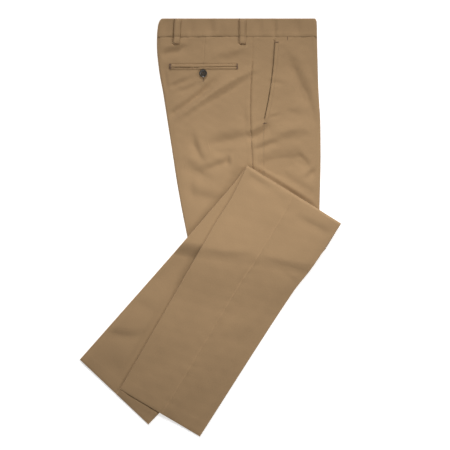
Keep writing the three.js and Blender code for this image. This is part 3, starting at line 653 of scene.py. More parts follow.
def lay_band_right(u, v):
    inner = 14.0
    bend = math.pi * BAND_ROLL
    run = v * (BAND_HIGH - BAND_ROLL + bend + inner)
    flat = BAND_HIGH - BAND_ROLL
    angle = np.clip((run - flat) / BAND_ROLL, 0, math.pi)
    y = np.where(run < flat, BAND_SEAM_Y + run, BAND_TOP_Y - BAND_ROLL + BAND_ROLL * np.sin(angle))
    y = np.where(run > flat + bend, BAND_TOP_Y - BAND_ROLL - (run - flat - bend), y)
    depth = np.where(run < flat, 0.0, BAND_ROLL * (1 - np.cos(angle)))
    left, width = band_line(y)
    total = 2 * (TURN_UNDER - BAND_RADIUS) + 2 * math.pi * BAND_RADIUS + width - 2 * BAND_RADIUS
    half_run = np.minimum(u, 1 - u) * total
    from_edge, height, on_top = edge_path(half_run, TURN_UNDER, BAND_RADIUS)
    floor = half_run < TURN_UNDER - BAND_RADIUS
    turn = np.clip((half_run - (TURN_UNDER - BAND_RADIUS)) / BAND_RADIUS, 0, math.pi) - math.pi / 2
    out_x, out_z = np.where(on_top | floor, 0.0, -np.cos(turn)), np.where(on_top, 1.0, np.where(floor, -1.0, np.sin(turn)))
    from_edge = from_edge - out_x * depth
    distance = np.where(u < 0.5, from_edge, width - from_edge)
    z = np.where(on_top, HIP_TOP, height) - out_z * depth
    x = left + distance
    seam_roll = 0.4 * np.exp(-((run / 1.2) ** 2)) * on_top
    ridge = 0.30 * smooth(1, 3, run) * (1 - smooth(7, 10, run)) * on_top
    wave = 0.3 * crumple(x, y, 60, 21) + 0.18 * pucker(run, x, 22, reach=8, length=11)
    wave = wave - trough_depth(x, y, BAND_DRAGS) - beside_loops(x, y)
    soft_side = smooth(2, 16, np.minimum(distance, width - distance))
    turned_in = -2.2 * smooth(flat + bend, flat + bend + 3, run) * on_top * soft_side
    z = z + np.where(run < flat, (ridge + wave) * soft_side * on_top - seam_roll, turned_in)
    y = y + np.where(run < flat, waist_wave(x) * (1 - smooth(0, 30, run)) * on_top, 0.0)
    return np.stack([x, y, z], axis=1)


BAND_WIDTH = 372.0
band_right = lay_sheet(
    "waistband_right_half", cells(BAND_WIDTH, 2.0), 30, lay_band_right, BAND_WIDTH, BAND_HIGH + 16, wall=0.9,
    gathered=gather_near([(0.166, 0.007), (0.201, 0.006), (0.510, 0.006), (0.545, 0.006)], crowd=4.0),
)


def lay_band_left(u, v):
    y = mix(BAND_SEAM_Y, BAND_TOP_Y, v)
    left, width = band_line(y)
    inset = TURN_UNDER + SEAM_GAP
    x = left + mix(inset, width - inset, u)
    z = 1.9 - 0.7 * np.exp(-(((BAND_TOP_Y - y) / 1.2) ** 2))
    return np.stack([x, y, z], axis=1)


LEFT_BAND_WIDTH = 269.0
band_left = lay_sheet("waistband_left_half", 60, 16, lay_band_left, LEFT_BAND_WIDTH, BAND_HIGH, wall=1.2)

# %% [markdown]
# ## Legs
# A pressed leg is a flat tube. Its front panel and back panel meet at the outseam and the inseam, and each panel
# wraps one crease. The tube starts in a short hidden return, turns round the second fold, and runs down over the
# step where the stack ends. Rows of the grid follow the leg: a few key lines say where on its two creases a row
# begins and ends, and the rows between are spread evenly.

# %% Where a leg lies
fold1 = np.array(FOLD1_RIGHT) - np.array(FOLD1_LEFT)
fold1_along = fold1 / np.hypot(*fold1)
far_edge = np.array(LEFT_LEG_RIGHT[1][1:]) - np.array(LEFT_LEG_RIGHT[0][1:])
far_edge_along = far_edge / np.hypot(*far_edge)


def past_fold1(x, y):
    return (x - FOLD1_LEFT[0]) * fold1_along[1] - (y - FOLD1_LEFT[1]) * fold1_along[0]


def past_far_edge(x, y):
    start = LEFT_LEG_RIGHT[0]
    return (y - start[2]) * far_edge_along[0] - (x - start[1]) * far_edge_along[1]


def droop(x):
    return DROOP * smooth(0, DROOP_LENGTH, x - DROOP_X)


def stack_height(x, y, drop):
    start, end, steep, slow_start, slow_end = drop
    past = past_fold1(x, y)
    fallen = steep * smooth(start, end, past) + (1 - steep) * smooth(slow_start, slow_end, past)
    return LEFT_LEG_BASE * (1 - fallen) - droop(x) * (1 - smooth(-6, 2, past))


def under_left_leg(x, y):
    return stack_height(x, y, LEFT_DROP)


def under_right_leg(x, y):
    return stack_height(x, y, RIGHT_DROP) + LEG_STEP * (1 - smooth(STEP_START, STEP_END, past_far_edge(x, y)))


def outward(fold_left, fold_right):
    """Direction in plan that points away from the leg at its second fold."""
    dx, dy = fold_right[1] - fold_left[1], fold_right[2] - fold_left[2]
    length = math.hypot(dx, dy)
    return np.array([-dy / length, dx / length])


FAR_OUT = outward(LEFT_LEG_LEFT[0], LEFT_LEG_RIGHT[0])


def crossing(crease, past):
    """Share of a crease at which it lies this far past the first fold."""
    shares = np.linspace(0, 1, 2001)
    lies = past_fold1(along(crease, shares, 1), along(crease, shares, 2))
    return float(np.interp(past, lies, shares))


def leg_rows(left, right, turn_radius, step):
    """Rows down one leg: plan points of both creases, height of the fold's circle, and the side that faces out."""
    out = outward(left[0], right[0])
    half = LEG_THICK / 2
    outer = turn_radius + half
    a, b = np.array(left[0][1:], float), np.array(right[0][1:], float)
    rows = []
    stub = []
    for corner in (a, b):
        depth = ((corner - np.array(LEFT_LEG_LEFT[0][1:])) @ FAR_OUT + STUB_LENGTH) / (out @ FAR_OUT)
        stub.append(max(depth - outer - 1, 6.0))
    for part in np.linspace(1, 0, cells(stub[0], step) + 1)[:-1]:
        rows.append((a - out * (outer + part * stub[0]), b - out * (outer + part * stub[1]), -1.0, -90.0))
    for degrees in np.linspace(-90, 90, 19 if turn_radius > 3 else 11):
        reach = outer - turn_radius * math.cos(math.radians(degrees))
        rows.append((a - out * reach, b - out * reach, math.sin(math.radians(degrees)), degrees))
    start = (outer + 1.5) / CREASE_LENGTH
    keys = [(start, start), *((crossing(left, p), crossing(right, p)) for p in (-20.0, 66.0)), (1.0, 1.0)]
    for (l1, r1), (l2, r2) in zip(keys[:-1], keys[1:]):
        count = cells(max(l2 - l1, r2 - r1) * CREASE_LENGTH, step)
        for t in np.linspace(0, 1, count + 1)[:-1]:
            share_left, share_right = mix(l1, l2, t), mix(r1, r2, t)
            rows.append((
                np.array([along(left, share_left, 1), along(left, share_left, 2)]),
                np.array([along(right, share_right, 1), along(right, share_right, 2)]),
                2.0, 90.0,
            ))
    rows.append((np.array(left[-1][1:], float), np.array(right[-1][1:], float), 2.0, 90.0))
    a = np.array([row[0] for row in rows])
    b = np.array([row[1] for row in rows])
    middle = (a + b) / 2
    run = np.concatenate([[0], np.cumsum(np.hypot(*np.diff(middle, axis=0).T))])
    bend = np.array([row[2] for row in rows])
    return {
        "a": a, "b": b, "bend": bend, "degrees": np.array([row[3] for row in rows]), "out": out,
        "width": np.hypot(*(b - a).T), "run": run, "half": half, "radius": turn_radius,
    }


# %% [markdown]
# A panel of a leg goes from the seam on the upper wall, round the crease, to the seam on the lower wall. The upper
# wall carries what shows: a dip at the seam, the pressed ridges of its allowance, listed troughs, and a fine
# swelling towards the middle, because a pressed leg is never quite flat.

# %% Lay one panel of a leg
LAP = 0.15                 # the two panels of a leg meet under their pressed seam
HEM_SETTLE = 0.45          # the hems are pressed hardest and lie lowest


def lay_leg_panel(rows, under, stub_level, side, seam_share, detail, hem_thick=0.12):
    """place(u, v) for the back (side 0) or front (side 1) panel of a leg. v is the row, u runs round the crease."""
    count = len(rows["run"]) - 1
    sign = -1 if side == 0 else 1

    def place(u, v):
        i = np.clip(np.round((1 - v) * count).astype(int), 0, count)
        a, b, width, half = rows["a"][i], rows["b"][i], rows["width"][i], rows["half"]
        share = np.clip((rows["run"][i] - rows["run"][-1] + CREASE_LENGTH) / CREASE_LENGTH, 0, 1)
        seam = mix(seam_share[0], seam_share[1], share)
        crease = side - sign * half / width
        start = seam - sign * LAP / width
        straight = np.abs(crease - start) * width
        total = 2 * straight + math.pi * half
        run = u * total
        s_top = start + sign * run / width
        s_low = start + sign * (total - run) / width
        upper, lower = run <= straight, run >= total - straight
        s = np.where(upper, s_top, np.where(lower, s_low, crease))
        theta = np.where(upper, math.pi / 2, np.where(lower, -math.pi / 2, math.pi / 2 - (run - straight) / half))
        middle = a + (b - a) * s[:, None]
        across = (b - a) / width[:, None]
        laid = rows["bend"][i] > 1.5
        low_level = stub_level + half
        high_level = low_level + 2 * rows["radius"]
        centre = (low_level + high_level) / 2
        z_turn = centre + rows["radius"] * rows["bend"][i] - droop(middle[:, 0])
        z = np.where(laid, under(middle[:, 0], middle[:, 1]) + half, z_turn)
        angle = np.radians(rows["degrees"][i])
        normal_plan = rows["out"][None, :] * np.cos(angle)[:, None]
        normal_z = np.sin(angle)
        puff = detail(middle[:, 0], middle[:, 1], s, width, share) if detail else 0.0
        to_hem = rows["run"][-1] - rows["run"][i]
        hem = hem_thick * (1 - smooth(24, 27, to_hem)) - 0.6 * np.exp(-((to_hem / 2.6) ** 2))
        to_seam = np.abs(s - seam) * width
        ease = np.exp(-to_seam / 7) if side == 1 else np.exp(-((to_seam / 1.7) ** 2))
        seam_line = 0.95 * ease + 0.16 * pucker(to_seam, rows["run"][i], 40, reach=12, length=19)
        settled = HEM_SETTLE * (1 - smooth(5, 90, to_hem))
        facing_up = np.where(upper, puff + seam_line + hem, 0.0) * np.clip((rows["degrees"][i] - 0) / 90, 0, 1)
        reach = half * np.sin(theta) + facing_up - np.where(upper, settled, 0.0)
        side_reach = half * np.cos(theta) * sign
        x = middle[:, 0] + across[:, 0] * side_reach + normal_plan[:, 0] * reach
        y = middle[:, 1] + across[:, 1] * side_reach + normal_plan[:, 1] * reach
        return np.stack([x, y, z + normal_z * reach], axis=1)

    return place, count


# %% What shows on each leg
RIGHT_LEG_DRAGS = [
    (70, 106, 94, 92, 126, 74, 2.4, 9),
    (168, 22, 206, 4, 242, -15, 1.8, 8),
    (-18, -43, 20, -62, 54, -58, 0.8, 8),
    (36, -60, 70, -52, 94, -58, 0.7, 8),
    (90, -55, 140, -76, 198, -90, 1.0, 8),
    (140, -88, 158, -97, 174, -116, 0.8, 7),
    (120, 62, 150, 50, 172, 30, 0.8, 11),
    (40, 20, 92, 12, 150, -14, 0.7, 16),
    (12, -216, 50, -226, 90, -222, 0.8, 16),
    (-60, -232, -96, -262, -120, -296, 0.7, 15),
    (70, -190, 30, -250, -10, -300, 0.7, 17),
    (-40, -300, -20, -340, -30, -380, 0.7, 14),
    (90, -60, 74, -92, 50, -122, 0.5, 6),
    (112, -30, 104, -60, 92, -84, 0.5, 6),
    (64, -96, 58, -124, 40, -148, 0.5, 5),
]
LEFT_LEG_DRAGS = [
    (-214, -200, -188, -226, -126, -213, 1.25, 9),
    (-160, -150, -120, -158, -90, -190, 0.9, 13),
    (-60, -60, -74, -90, -110, -110, 0.8, 12),
    (-200, -260, -176, -300, -150, -330, 0.8, 14),
]


def right_leg_detail(x, y, s, width, share):
    from_crease = np.minimum(s, 1 - s) * width
    swell = 0.9 * smooth(2, 40, from_crease)
    lie = 0.25 * crumple(x, y, 120, 51) + 0.14 * crumple(x, y, 38, 52)
    return smooth(0, 16, from_crease) * (swell + lie - trough_depth(x, y, RIGHT_LEG_DRAGS)) * smooth(0, 0.03, share)


def left_leg_detail(x, y, s, width, share):
    from_crease = s * width
    shown = smooth(-6, -22, past_under_right(x, y))
    lie = 0.3 * crumple(x, y, 110, 61) + 0.1 * crumple(x, y, 34, 62)
    lie = lie + 1.5 * smooth(-330, -222, y) * smooth(-110, -200, y)
    soft = smooth(0, 14, from_crease) * (0.5 + lie - trough_depth(x, y, LEFT_LEG_DRAGS))
    below_hem = (x + 180.5) * 0.513 + (y + 322) * 0.859
    rise = 0.6 * smooth(7, 1, below_hem) + 1.2 * smooth(0.6, -1.6, below_hem)
    near_hem = rise * np.exp(-((np.minimum(below_hem, 0) / 14) ** 2)) * smooth(-8, 6, x + 180.5)
    lifted = np.where(past_fold1(x, y) > 46, shown * soft, np.minimum(shown * soft, 0.3))
    return lifted + near_hem


def past_under_right(x, y):
    """How far a point lies inside the right leg's left crease; negative where the left leg shows."""
    shares = np.linspace(0, 1, 60)
    edge_x, edge_y = along(RIGHT_LEG_LEFT, shares, 1), along(RIGHT_LEG_LEFT, shares, 2)
    order = np.argsort(edge_y)
    return x - np.interp(y, edge_y[order], edge_x[order])


# %% The four leg panels
LEG_STEP_SIZE = FINE
RIGHT_STUB = HIP_TOP + LAYER_GAP
LEFT_STUB = RIGHT_STUB + LEG_STEP
right_rows = leg_rows(RIGHT_LEG_LEFT, RIGHT_LEG_RIGHT, (LEFT_LEG_BASE + LEG_STEP - RIGHT_STUB) / 2, LEG_STEP_SIZE)
left_rows = leg_rows(LEFT_LEG_LEFT, LEFT_LEG_RIGHT, (LEFT_LEG_BASE - LEFT_STUB) / 2, LEG_STEP_SIZE)
RIGHT_SEAM, LEFT_SEAM = (0.5, 0.53), (0.5, 0.54)
LEG_CUT = 206.0
LEG_CUT_LENGTH = 540.0


def leg_panel(name, rows, under, stub, side, seam, detail):
    place, count = lay_leg_panel(rows, under, stub, side, seam, detail)
    near_seam = gather_near([(0.0, 0.03)], crowd=2.5)
    return lay_sheet(name, cells(LEG_CUT, FINE), count, place, LEG_CUT, LEG_CUT_LENGTH, gathered=near_seam)


right_back_leg = leg_panel("right_back_panel_leg", right_rows, under_right_leg, RIGHT_STUB, 0, RIGHT_SEAM, right_leg_detail)
right_front_leg = leg_panel("right_front_panel_leg", right_rows, under_right_leg, RIGHT_STUB, 1, RIGHT_SEAM, right_leg_detail)
left_back_leg = leg_panel("left_back_panel_leg", left_rows, under_left_leg, LEFT_STUB, 0, LEFT_SEAM, left_leg_detail)
left_front_leg = leg_panel("left_front_panel_leg", left_rows, under_left_leg, LEFT_STUB, 1, LEFT_SEAM, left_leg_detail)

# %% [markdown]
# ## Cloth between the folds
# Between the two folds both legs run hidden under the lower legs. Only their pressed edges show at the sides, and
# the round noses of the first fold. The left leg is outside and the right leg inside it, each a flat tube that
# goes round the fold and ends on the floor side.

# %% Both legs from the second fold round the first
def fold_line(s, past):
    x = mix(FOLD1_LEFT[0], FOLD1_RIGHT[0], s) + past * fold1_along[1]
    y = mix(FOLD1_LEFT[1], FOLD1_RIGHT[1], s) - past * fold1_along[0]
    return np.array([x, y])


def hidden_rows(top_level, radius, centre_z, nose, step):
    """Rows of a hidden stretch: flat towards the first fold, round it, and a short return."""
    out = outward(RIGHT_LEG_LEFT[0], RIGHT_LEG_RIGHT[0])
    begin = []
    for corner in (np.array(RIGHT_LEG_LEFT[0][1:], float), np.array(RIGHT_LEG_RIGHT[0][1:], float)):
        depth = ((corner - np.array(LEFT_LEG_LEFT[0][1:])) @ FAR_OUT + STUB_LENGTH) / (out @ FAR_OUT)
        begin.append(corner - out * depth)
    centre = -nose
    rows = []
    for t in np.linspace(0, 1, cells(150, step) + 1)[:-1]:
        rows.append((mix(begin[0], fold_line(0, centre), t), mix(begin[1], fold_line(1, centre), t), top_level, 90.0))
    for degrees in np.linspace(90, -90, 17):
        reach = centre + radius * math.cos(math.radians(degrees))
        z = centre_z + radius * math.sin(math.radians(degrees))
        rows.append((fold_line(0, reach), fold_line(1, reach), z, degrees))
    return rows


def lay_hidden_leg(rows, half):
    a = np.array([row[0] for row in rows])
    b = np.array([row[1] for row in rows])
    level = np.array([row[2] for row in rows])
    degrees = np.radians(np.array([row[3] for row in rows]))
    width = np.hypot(*(b - a).T)
    count = len(rows) - 1
    fold_out = np.array([fold1_along[1], -fold1_along[0]])

    def place(u, v):
        i = np.clip(np.round((1 - v) * count).astype(int), 0, count)
        straight = width[i] - 2 * half
        bend = math.pi * half
        run = u * (2 * straight + 2 * bend)
        upper = run < straight
        right = (run >= straight) & (run < straight + bend)
        lower = (run >= straight + bend) & (run <= 2 * straight + bend)
        theta = np.where(upper, math.pi / 2, np.where(lower, -math.pi / 2, 0.0))
        theta = np.where(right, math.pi / 2 - (run - straight) / half, theta)
        left = run > 2 * straight + bend
        theta = np.where(left, -math.pi / 2 - (run - 2 * straight - bend) / half, theta)
        distance = np.where(upper, half + run, 0.0)
        distance = np.where(right, half + straight, distance)
        distance = np.where(lower, half + 2 * straight + bend - run, distance)
        distance = np.where(left, half, distance)
        across = (b[i] - a[i]) / width[i][:, None]
        middle = a[i] + across * (distance + half * np.cos(theta))[:, None]
        reach = half * np.sin(theta)
        plan = middle + fold_out[None, :] * (np.cos(degrees[i]) * reach)[:, None]
        z = level[i] + np.sin(degrees[i]) * reach
        flat = degrees[i] > 1.5
        return np.stack([plan[:, 0], plan[:, 1], z - np.where(flat, droop(plan[:, 0]), 0.0)], axis=1)

    return place, count


HIDDEN_THICK = 2.0
NOSE = 5.9
half_hidden = HIDDEN_THICK / 2
outer_rows = hidden_rows(2 * NOSE - half_hidden, NOSE - half_hidden, NOSE, NOSE, 8)
inner_level = 2 * NOSE - 1.5 * HIDDEN_THICK - 0.2
inner_rows = hidden_rows(inner_level, inner_level - NOSE, NOSE, NOSE, 8)
HIDDEN_CUT = 480.0
HIDDEN_LENGTH = 165.0
place_outer, count_outer = lay_hidden_leg(outer_rows, half_hidden)
place_inner, count_inner = lay_hidden_leg(inner_rows, half_hidden)
HIDDEN_WALL = 0.7


def hidden_leg(name, place, count):
    at_creases = gather_near([(0.5, 0.014), (0.0, 0.012), (1.0, 0.014)], crowd=24)
    columns = cells(HIDDEN_CUT, 3)
    return lay_sheet(name, columns, count, place, HIDDEN_CUT, HIDDEN_LENGTH, wall=HIDDEN_WALL, gathered=at_creases)


left_between = hidden_leg("left_leg_between_folds", place_outer, count_outer)
right_between = hidden_leg("right_leg_between_folds", place_inner, count_inner)

# %% [markdown]
# ## Small cloth parts
# Loops and welts are narrow folded strips. They lie on cloth that is already uneven, so a ray from above finds the
# height of the cloth at each of their points. A shrinkwrap would do it too, but it would flatten their rounding.

# %% Height of the cloth under a point
def cloth_under(pieces, x, y):
    """Top height of the highest of the pieces under each point, in millimetres."""
    heights = np.zeros(len(x))
    for i, (px, py) in enumerate(zip(x, y)):
        best = 0.0
        for piece in pieces:
            hit, place, _, _ = piece.ray_cast((px * MM, py * MM, 0.2), (0, 0, -1))
            if hit:
                best = max(best, place.z / MM)
        heights[i] = best
    return heights


# %% Belt loops
LOOP_CLOTH = 1.4


def lay_loop(top_x, bottom_x, seed):
    hem = 6.0

    def place(u, v):
        length = LOOP_TOP - LOOP_BOTTOM + 2 * hem
        run = v * length
        y = LOOP_BOTTOM - hem + run
        turned_low, turned_high = y < LOOP_BOTTOM, y > LOOP_TOP
        y = np.where(turned_low, 2 * LOOP_BOTTOM - y, np.where(turned_high, 2 * LOOP_TOP - y, y))
        share = (y - LOOP_BOTTOM) / (LOOP_TOP - LOOP_BOTTOM)
        side = 2 * u - 1
        x = mix(bottom_x, top_x, share) + side * LOOP_WIDTH / 2
        x = x + 0.35 * np.sin(share * 7 + seed)
        base = cloth_under([back_panel, front_panel, facing, band_right], x, y)
        base = np.where(base < 1, HIP_TOP, base)
        middle_x = mix(bottom_x, top_x, share)
        level = cloth_under([back_panel, front_panel, facing, band_right], middle_x, y)
        base = mix(base, level, 0.75)
        arch = 0.5 + 0.5 * smooth(0.3, 0, share) + 1.1 * smooth(0, 0.12, share) * (1 - smooth(0.9, 1, share))
        on_top = ~(turned_low | turned_high)
        rounded = 0.5 * np.abs(side) ** 7
        rib = 0.12 * np.exp(-(((np.abs(side) - 0.66) / 0.07) ** 2))
        z = base + np.where(on_top, arch + LOOP_CLOTH + 0.2 - rounded - rib, 0.15)
        end = np.minimum(share, 1 - share) * (LOOP_TOP - LOOP_BOTTOM)
        z = z - np.where(on_top, 0.5 * np.exp(-((end / 0.6) ** 2)), 0)
        return np.stack([x, y, z], axis=1)
    return place


loops = {}
for seed, (name, (top_x, bottom_x)) in enumerate(LOOP_PLACES.items()):
    loops[name] = lay_sheet(name + "_strip", 12, 44, lay_loop(top_x, bottom_x, seed), LOOP_WIDTH, 62.0, wall=0.7)

# %% Pocket welts
def lay_welt(upper):
    def place(u, v):
        x = mix(WELT_LEFT, WELT_RIGHT, u)
        outer = WELT_TOP if upper else WELT_BOTTOM
        gap = 0.7 + 0.95 * np.exp(-(((x + 52) / 20) ** 2)) + 0.5 * np.exp(-(((x - 12) / 15) ** 2))
        inner = slit_height(x) + (gap / 2 if upper else -gap / 2)
        y = mix(outer, inner, v) if upper else mix(inner, outer, v)
        to_slit = np.abs(y - inner)
        to_outer = np.abs(y - outer)
        to_end = np.minimum(x - WELT_LEFT, WELT_RIGHT - x)
        z = cloth_under([back_panel], x, np.full_like(y, outer)) + 0.15
        z = z + 1.25 * smooth(0, 1.2, to_outer) * smooth(-0.6, 1.1, to_slit) * (0.35 + 0.65 * smooth(0, 4, to_end))
        z = z + (0.12 * pucker(to_outer, x, 71 + upper, reach=3, length=7) + 0.1 * crumple(x, y, 30, 73))
        return np.stack([x, y, z], axis=1)
    return place


welt_upper = lay_sheet("back_pocket_welt_upper_strip", 90, 8, lay_welt(True), 138.5, 5.0, wall=0.6)
welt_lower = lay_sheet("back_pocket_welt_lower_strip", 90, 8, lay_welt(False), 138.5, 6.0, wall=0.6)

# %% [markdown]
# ## Button
# The back pocket closes with a four-hole button. It is turned from one blank: a disc with a raised rim, a sunk
# middle and four drilled holes. So a cylinder is inset and pushed down, its edges are bevelled, and the holes are
# cut with a boolean, as a drill would do it.

# %% Turn the button
BUTTON_X, BUTTON_Y = -14.1, 307.6
BUTTON_RADIUS, BUTTON_THICK = 7.9, 2.6
BUTTON_RIM = 1.5
HOLE_RADIUS, HOLE_PLACE = 0.75, 1.55
button_seat = float(cloth_under([back_panel, welt_lower], np.array([BUTTON_X]), np.array([BUTTON_Y]))[0])
button_middle = button_seat + 0.5 + BUTTON_THICK / 2


def select_faces(piece, wanted):
    """In edit mode: select only the faces whose centre and normal pass the test."""
    bpy.ops.mesh.select_mode(type="FACE")
    bpy.ops.mesh.select_all(action="DESELECT")
    bpy.ops.object.mode_set(mode="OBJECT")
    for face in piece.data.polygons:
        face.select = wanted(face)
    bpy.ops.object.mode_set(mode="EDIT")


deselect()
bpy.ops.mesh.primitive_cylinder_add(
    vertices=64, radius=BUTTON_RADIUS * MM, depth=BUTTON_THICK * MM,
    location=(BUTTON_X * MM, BUTTON_Y * MM, button_middle * MM),
)
button = bpy.context.object
button.name = "back_pocket_button_turned"
bpy.ops.object.transform_apply(location=True, rotation=True, scale=True)
bpy.ops.object.mode_set(mode="EDIT")
select_faces(button, lambda face: face.normal.z > 0.9)
bpy.ops.mesh.inset(thickness=BUTTON_RIM * MM, depth=0)
bpy.ops.mesh.inset(thickness=0.8 * MM, depth=-0.75 * MM)
bpy.ops.mesh.inset(thickness=1.0 * MM, depth=-0.15 * MM)
select_faces(button, lambda face: abs(face.normal.z) < 0.2 and face.area > 0)
bpy.ops.mesh.select_all(action="DESELECT")
bpy.ops.object.mode_set(mode="OBJECT")
rounding = button.modifiers.new("polish", "BEVEL")
rounding.width = 0.45 * MM
rounding.segments = 4
rounding.limit_method = "ANGLE"
rounding.angle_limit = math.radians(28)
bpy.ops.object.modifier_apply(modifier=rounding.name)

drills = []
for turn in range(4):
    angle = math.radians(45 + 90 * turn + 6)
    deselect()
    bpy.ops.mesh.primitive_cylinder_add(
        vertices=20, radius=HOLE_RADIUS * MM, depth=8 * MM,
        location=(
            (BUTTON_X + HOLE_PLACE * 1.4142 * math.cos(angle)) * MM,
            (BUTTON_Y + HOLE_PLACE * 1.4142 * math.sin(angle)) * MM,
            button_middle * MM,
        ),
    )
    drills.append(bpy.context.object)
deselect()
for drill in drills:
    drill.select_set(True)
bpy.context.view_layer.objects.active = drills[0]
bpy.ops.object.join()
drill = bpy.context.object
deselect()
button.select_set(True)
bpy.context.view_layer.objects.active = button
cut = button.modifiers.new("holes", "BOOLEAN")
cut.operation = "DIFFERENCE"
cut.object = drill
bpy.ops.object.modifier_apply(modifier=cut.name)
bpy.data.objects.remove(drill)
bpy.ops.object.shade_smooth_by_angle(angle=math.radians(30))
print("button faces", len(button.data.polygons), "seat", round(button_seat, 2), "mm")

# %% [markdown]
# ## Sewing
# One stitch is a short fat grain of thread. It is modelled once, from a small sphere, and copied along each sewn
# line, sunk into the cloth by a third. Bar tacks are the same stitches laid side by side. Stitches this small are
# under a pixel in the photo, but their rows make the soft lines that say trousers are sewn.

# %% One stitch, and rows of it
def make_stitch():
    deselect()
    bpy.ops.mesh.primitive_uv_sphere_add(segments=6, ring_count=5, radius=0.5)
    grain = bpy.context.object
    grain.rotation_euler = (0, math.radians(90), 0)
    bpy.ops.object.transform_apply(location=False, rotation=True, scale=False)
    bpy.ops.object.shade_smooth()
    return grain


STITCH = make_stitch()


def sew(name, stitches, carrier, thick=0.5, sink=0.12, lowest=0.0, bridged=0.0):
    """stitches: rows of start x, y and end x, y, in millimetres, on top of the carrier pieces.

    Thread is tight, so it stays above lowest and crosses a slit that is narrower than twice bridged.
    """
    copies = []
    starts = np.array([(s[0], s[1]) for s in stitches], float)
    ends = np.array([(s[2], s[3]) for s in stitches], float)
    beside = (-bridged, 0.0, bridged) if bridged else (0.0,)
    z_start = np.max([cloth_under(carrier, starts[:, 0], starts[:, 1] + step) for step in beside], axis=0)
    z_end = np.max([cloth_under(carrier, ends[:, 0], ends[:, 1] + step) for step in beside], axis=0)
    z_start, z_end = np.maximum(z_start, lowest), np.maximum(z_end, lowest)
    for (ax, ay), (bx, by), az, bz in zip(starts, ends, z_start, z_end):
        length = math.hypot(bx - ax, by - ay)
        grain = STITCH.copy()
        grain.data = STITCH.data.copy()
        grain.location = ((ax + bx) / 2 * MM, (ay + by) / 2 * MM, ((az + bz) / 2 + thick / 2 - sink) * MM)
        grain.rotation_euler = (0, -math.atan2(bz - az, length), math.atan2(by - ay, bx - ax))
        grain.scale = (length * MM, thick * MM, thick * MM)
        bpy.context.collection.objects.link(grain)
        copies.append(grain)
    deselect()
    for grain in copies:
        grain.select_set(True)
    bpy.context.view_layer.objects.active = copies[0]
    bpy.ops.object.join()
    row = bpy.context.object
    row.name = name
    bpy.ops.object.transform_apply(location=True, rotation=True, scale=True)
    print(f"{name}: {len(stitches)} stitches")
    return row


def stitch_line(points, length=2.9, gap=0.5):
    """Stitches along a line of plan points."""
    points = np.array(points, float)
    run = np.concatenate([[0], np.cumsum(np.hypot(*np.diff(points, axis=0).T))])
    starts = np.arange(0, run[-1] - length, length)
    rows = []
    for start in starts:
        a = [np.interp(start + gap / 2, run, points[:, k]) for k in (0, 1)]
        b = [np.interp(start + length - gap / 2, run, points[:, k]) for k in (0, 1)]
        rows.append((*a, *b))
    return rows


def bar_tack(x, y, angle, length, wide, threads=None):
    """Stitches side by side along a bar. angle is that of the bar, in degrees."""
    along_bar = np.array([math.cos(math.radians(angle)), math.sin(math.radians(angle))])
    across = np.array([-along_bar[1], along_bar[0]])
    threads = threads or int(length / 0.42)
    rows = []
    for i in range(threads):
        middle = np.array([x, y]) + along_bar * (i / (threads - 1) - 0.5) * length
        rows.append((*(middle - across * wide / 2), *(middle + across * wide / 2)))
    return rows


# %% Where it is sewn
stitch_pieces = []
hip_top = [back_panel, front_panel, facing]
mouth_line = [(float(along(POCKET_MOUTH, y)) + 7.0, y) for y in np.linspace(MOUTH_TOP_Y, MOUTH_END_Y, 60)]
mouth_rows = stitch_line(mouth_line)
stitch_pieces.append(sew("stitches_pocket_mouth", mouth_rows, hip_top, thick=0.45))

loop_pieces = list(loops.values())
loop_rows = []
for top_x, bottom_x in LOOP_PLACES.values():
    for side in (-4.0, 4.0):
        low = (bottom_x + side, LOOP_BOTTOM + 1.5)
        high = (top_x + side, LOOP_TOP - 1.5)
        loop_rows += stitch_line([low, high])
    loop_rows += bar_tack(top_x, LOOP_TOP - 1.8, 0, 11.0, 1.9)
stitch_pieces.append(sew("stitches_belt_loops", loop_rows, loop_pieces, thick=0.45))
# The lower loop tacks are sewn in the dark thread: their dark colour is painted shade under the loops' lower ends.
low_tacks = []
for _, bottom_x in LOOP_PLACES.values():
    low_tacks += bar_tack(bottom_x, LOOP_BOTTOM + 1.75, 0, 11.4, 2.4)
loop_tacks_painted_shade = sew("bar_tacks_belt_loops_painted_shade", low_tacks, loop_pieces, thick=0.6)

tack_rows = bar_tack(132.5, 369.9, 4, 6.5, 2.0) + bar_tack(109.3, 208.0, 8, 7.4, 2.0)
for end_x, wide in ((WELT_LEFT + 3.2, 5.2), (WELT_RIGHT - 1.8, 3.4)):
    tack_rows += bar_tack(end_x, (WELT_TOP + WELT_BOTTOM) / 2, 90, 10.8, wide)
bar_tacks = sew("bar_tacks_pockets", tack_rows, [*hip_top, welt_upper, welt_lower], thick=0.55, bridged=2.0)

welt_rows = []
for edge_y in (WELT_TOP - 0.9, WELT_BOTTOM + 0.9):
    welt_rows += stitch_line([(WELT_LEFT + 4, edge_y), (WELT_RIGHT - 3, edge_y)], length=2.6)
stitch_pieces.append(sew("stitches_back_pocket", welt_rows, [back_panel, welt_upper, welt_lower], thick=0.42))

hole_rows = []
for side in (-0.95, 0.95):
    hole_rows += bar_tack(BUTTON_X + 0.7 + side, 303.5, 90, 22.5, 1.5, threads=40)
hole_rows += bar_tack(BUTTON_X + 0.7, 292.0, 0, 3.6, 1.6, threads=7)
hole_rows += bar_tack(BUTTON_X + 0.4, 328.8, 0, 2.2, 2.4, threads=5)
stitch_pieces.append(sew("stitches_buttonhole", hole_rows, [back_panel, welt_lower, welt_upper], thick=0.4, bridged=1.6))

thread_rows = []
for side in (-1.55, 1.55):
    for strand in (-0.35, 0, 0.35):
        thread_rows.append((BUTTON_X - 1.9, BUTTON_Y + side + strand, BUTTON_X + 1.9, BUTTON_Y + side + strand))
sunk_middle = button_middle + BUTTON_THICK / 2 - 0.9
button_thread = sew("button_thread", thread_rows, [button], thick=0.42, sink=0.05, lowest=sunk_middle)

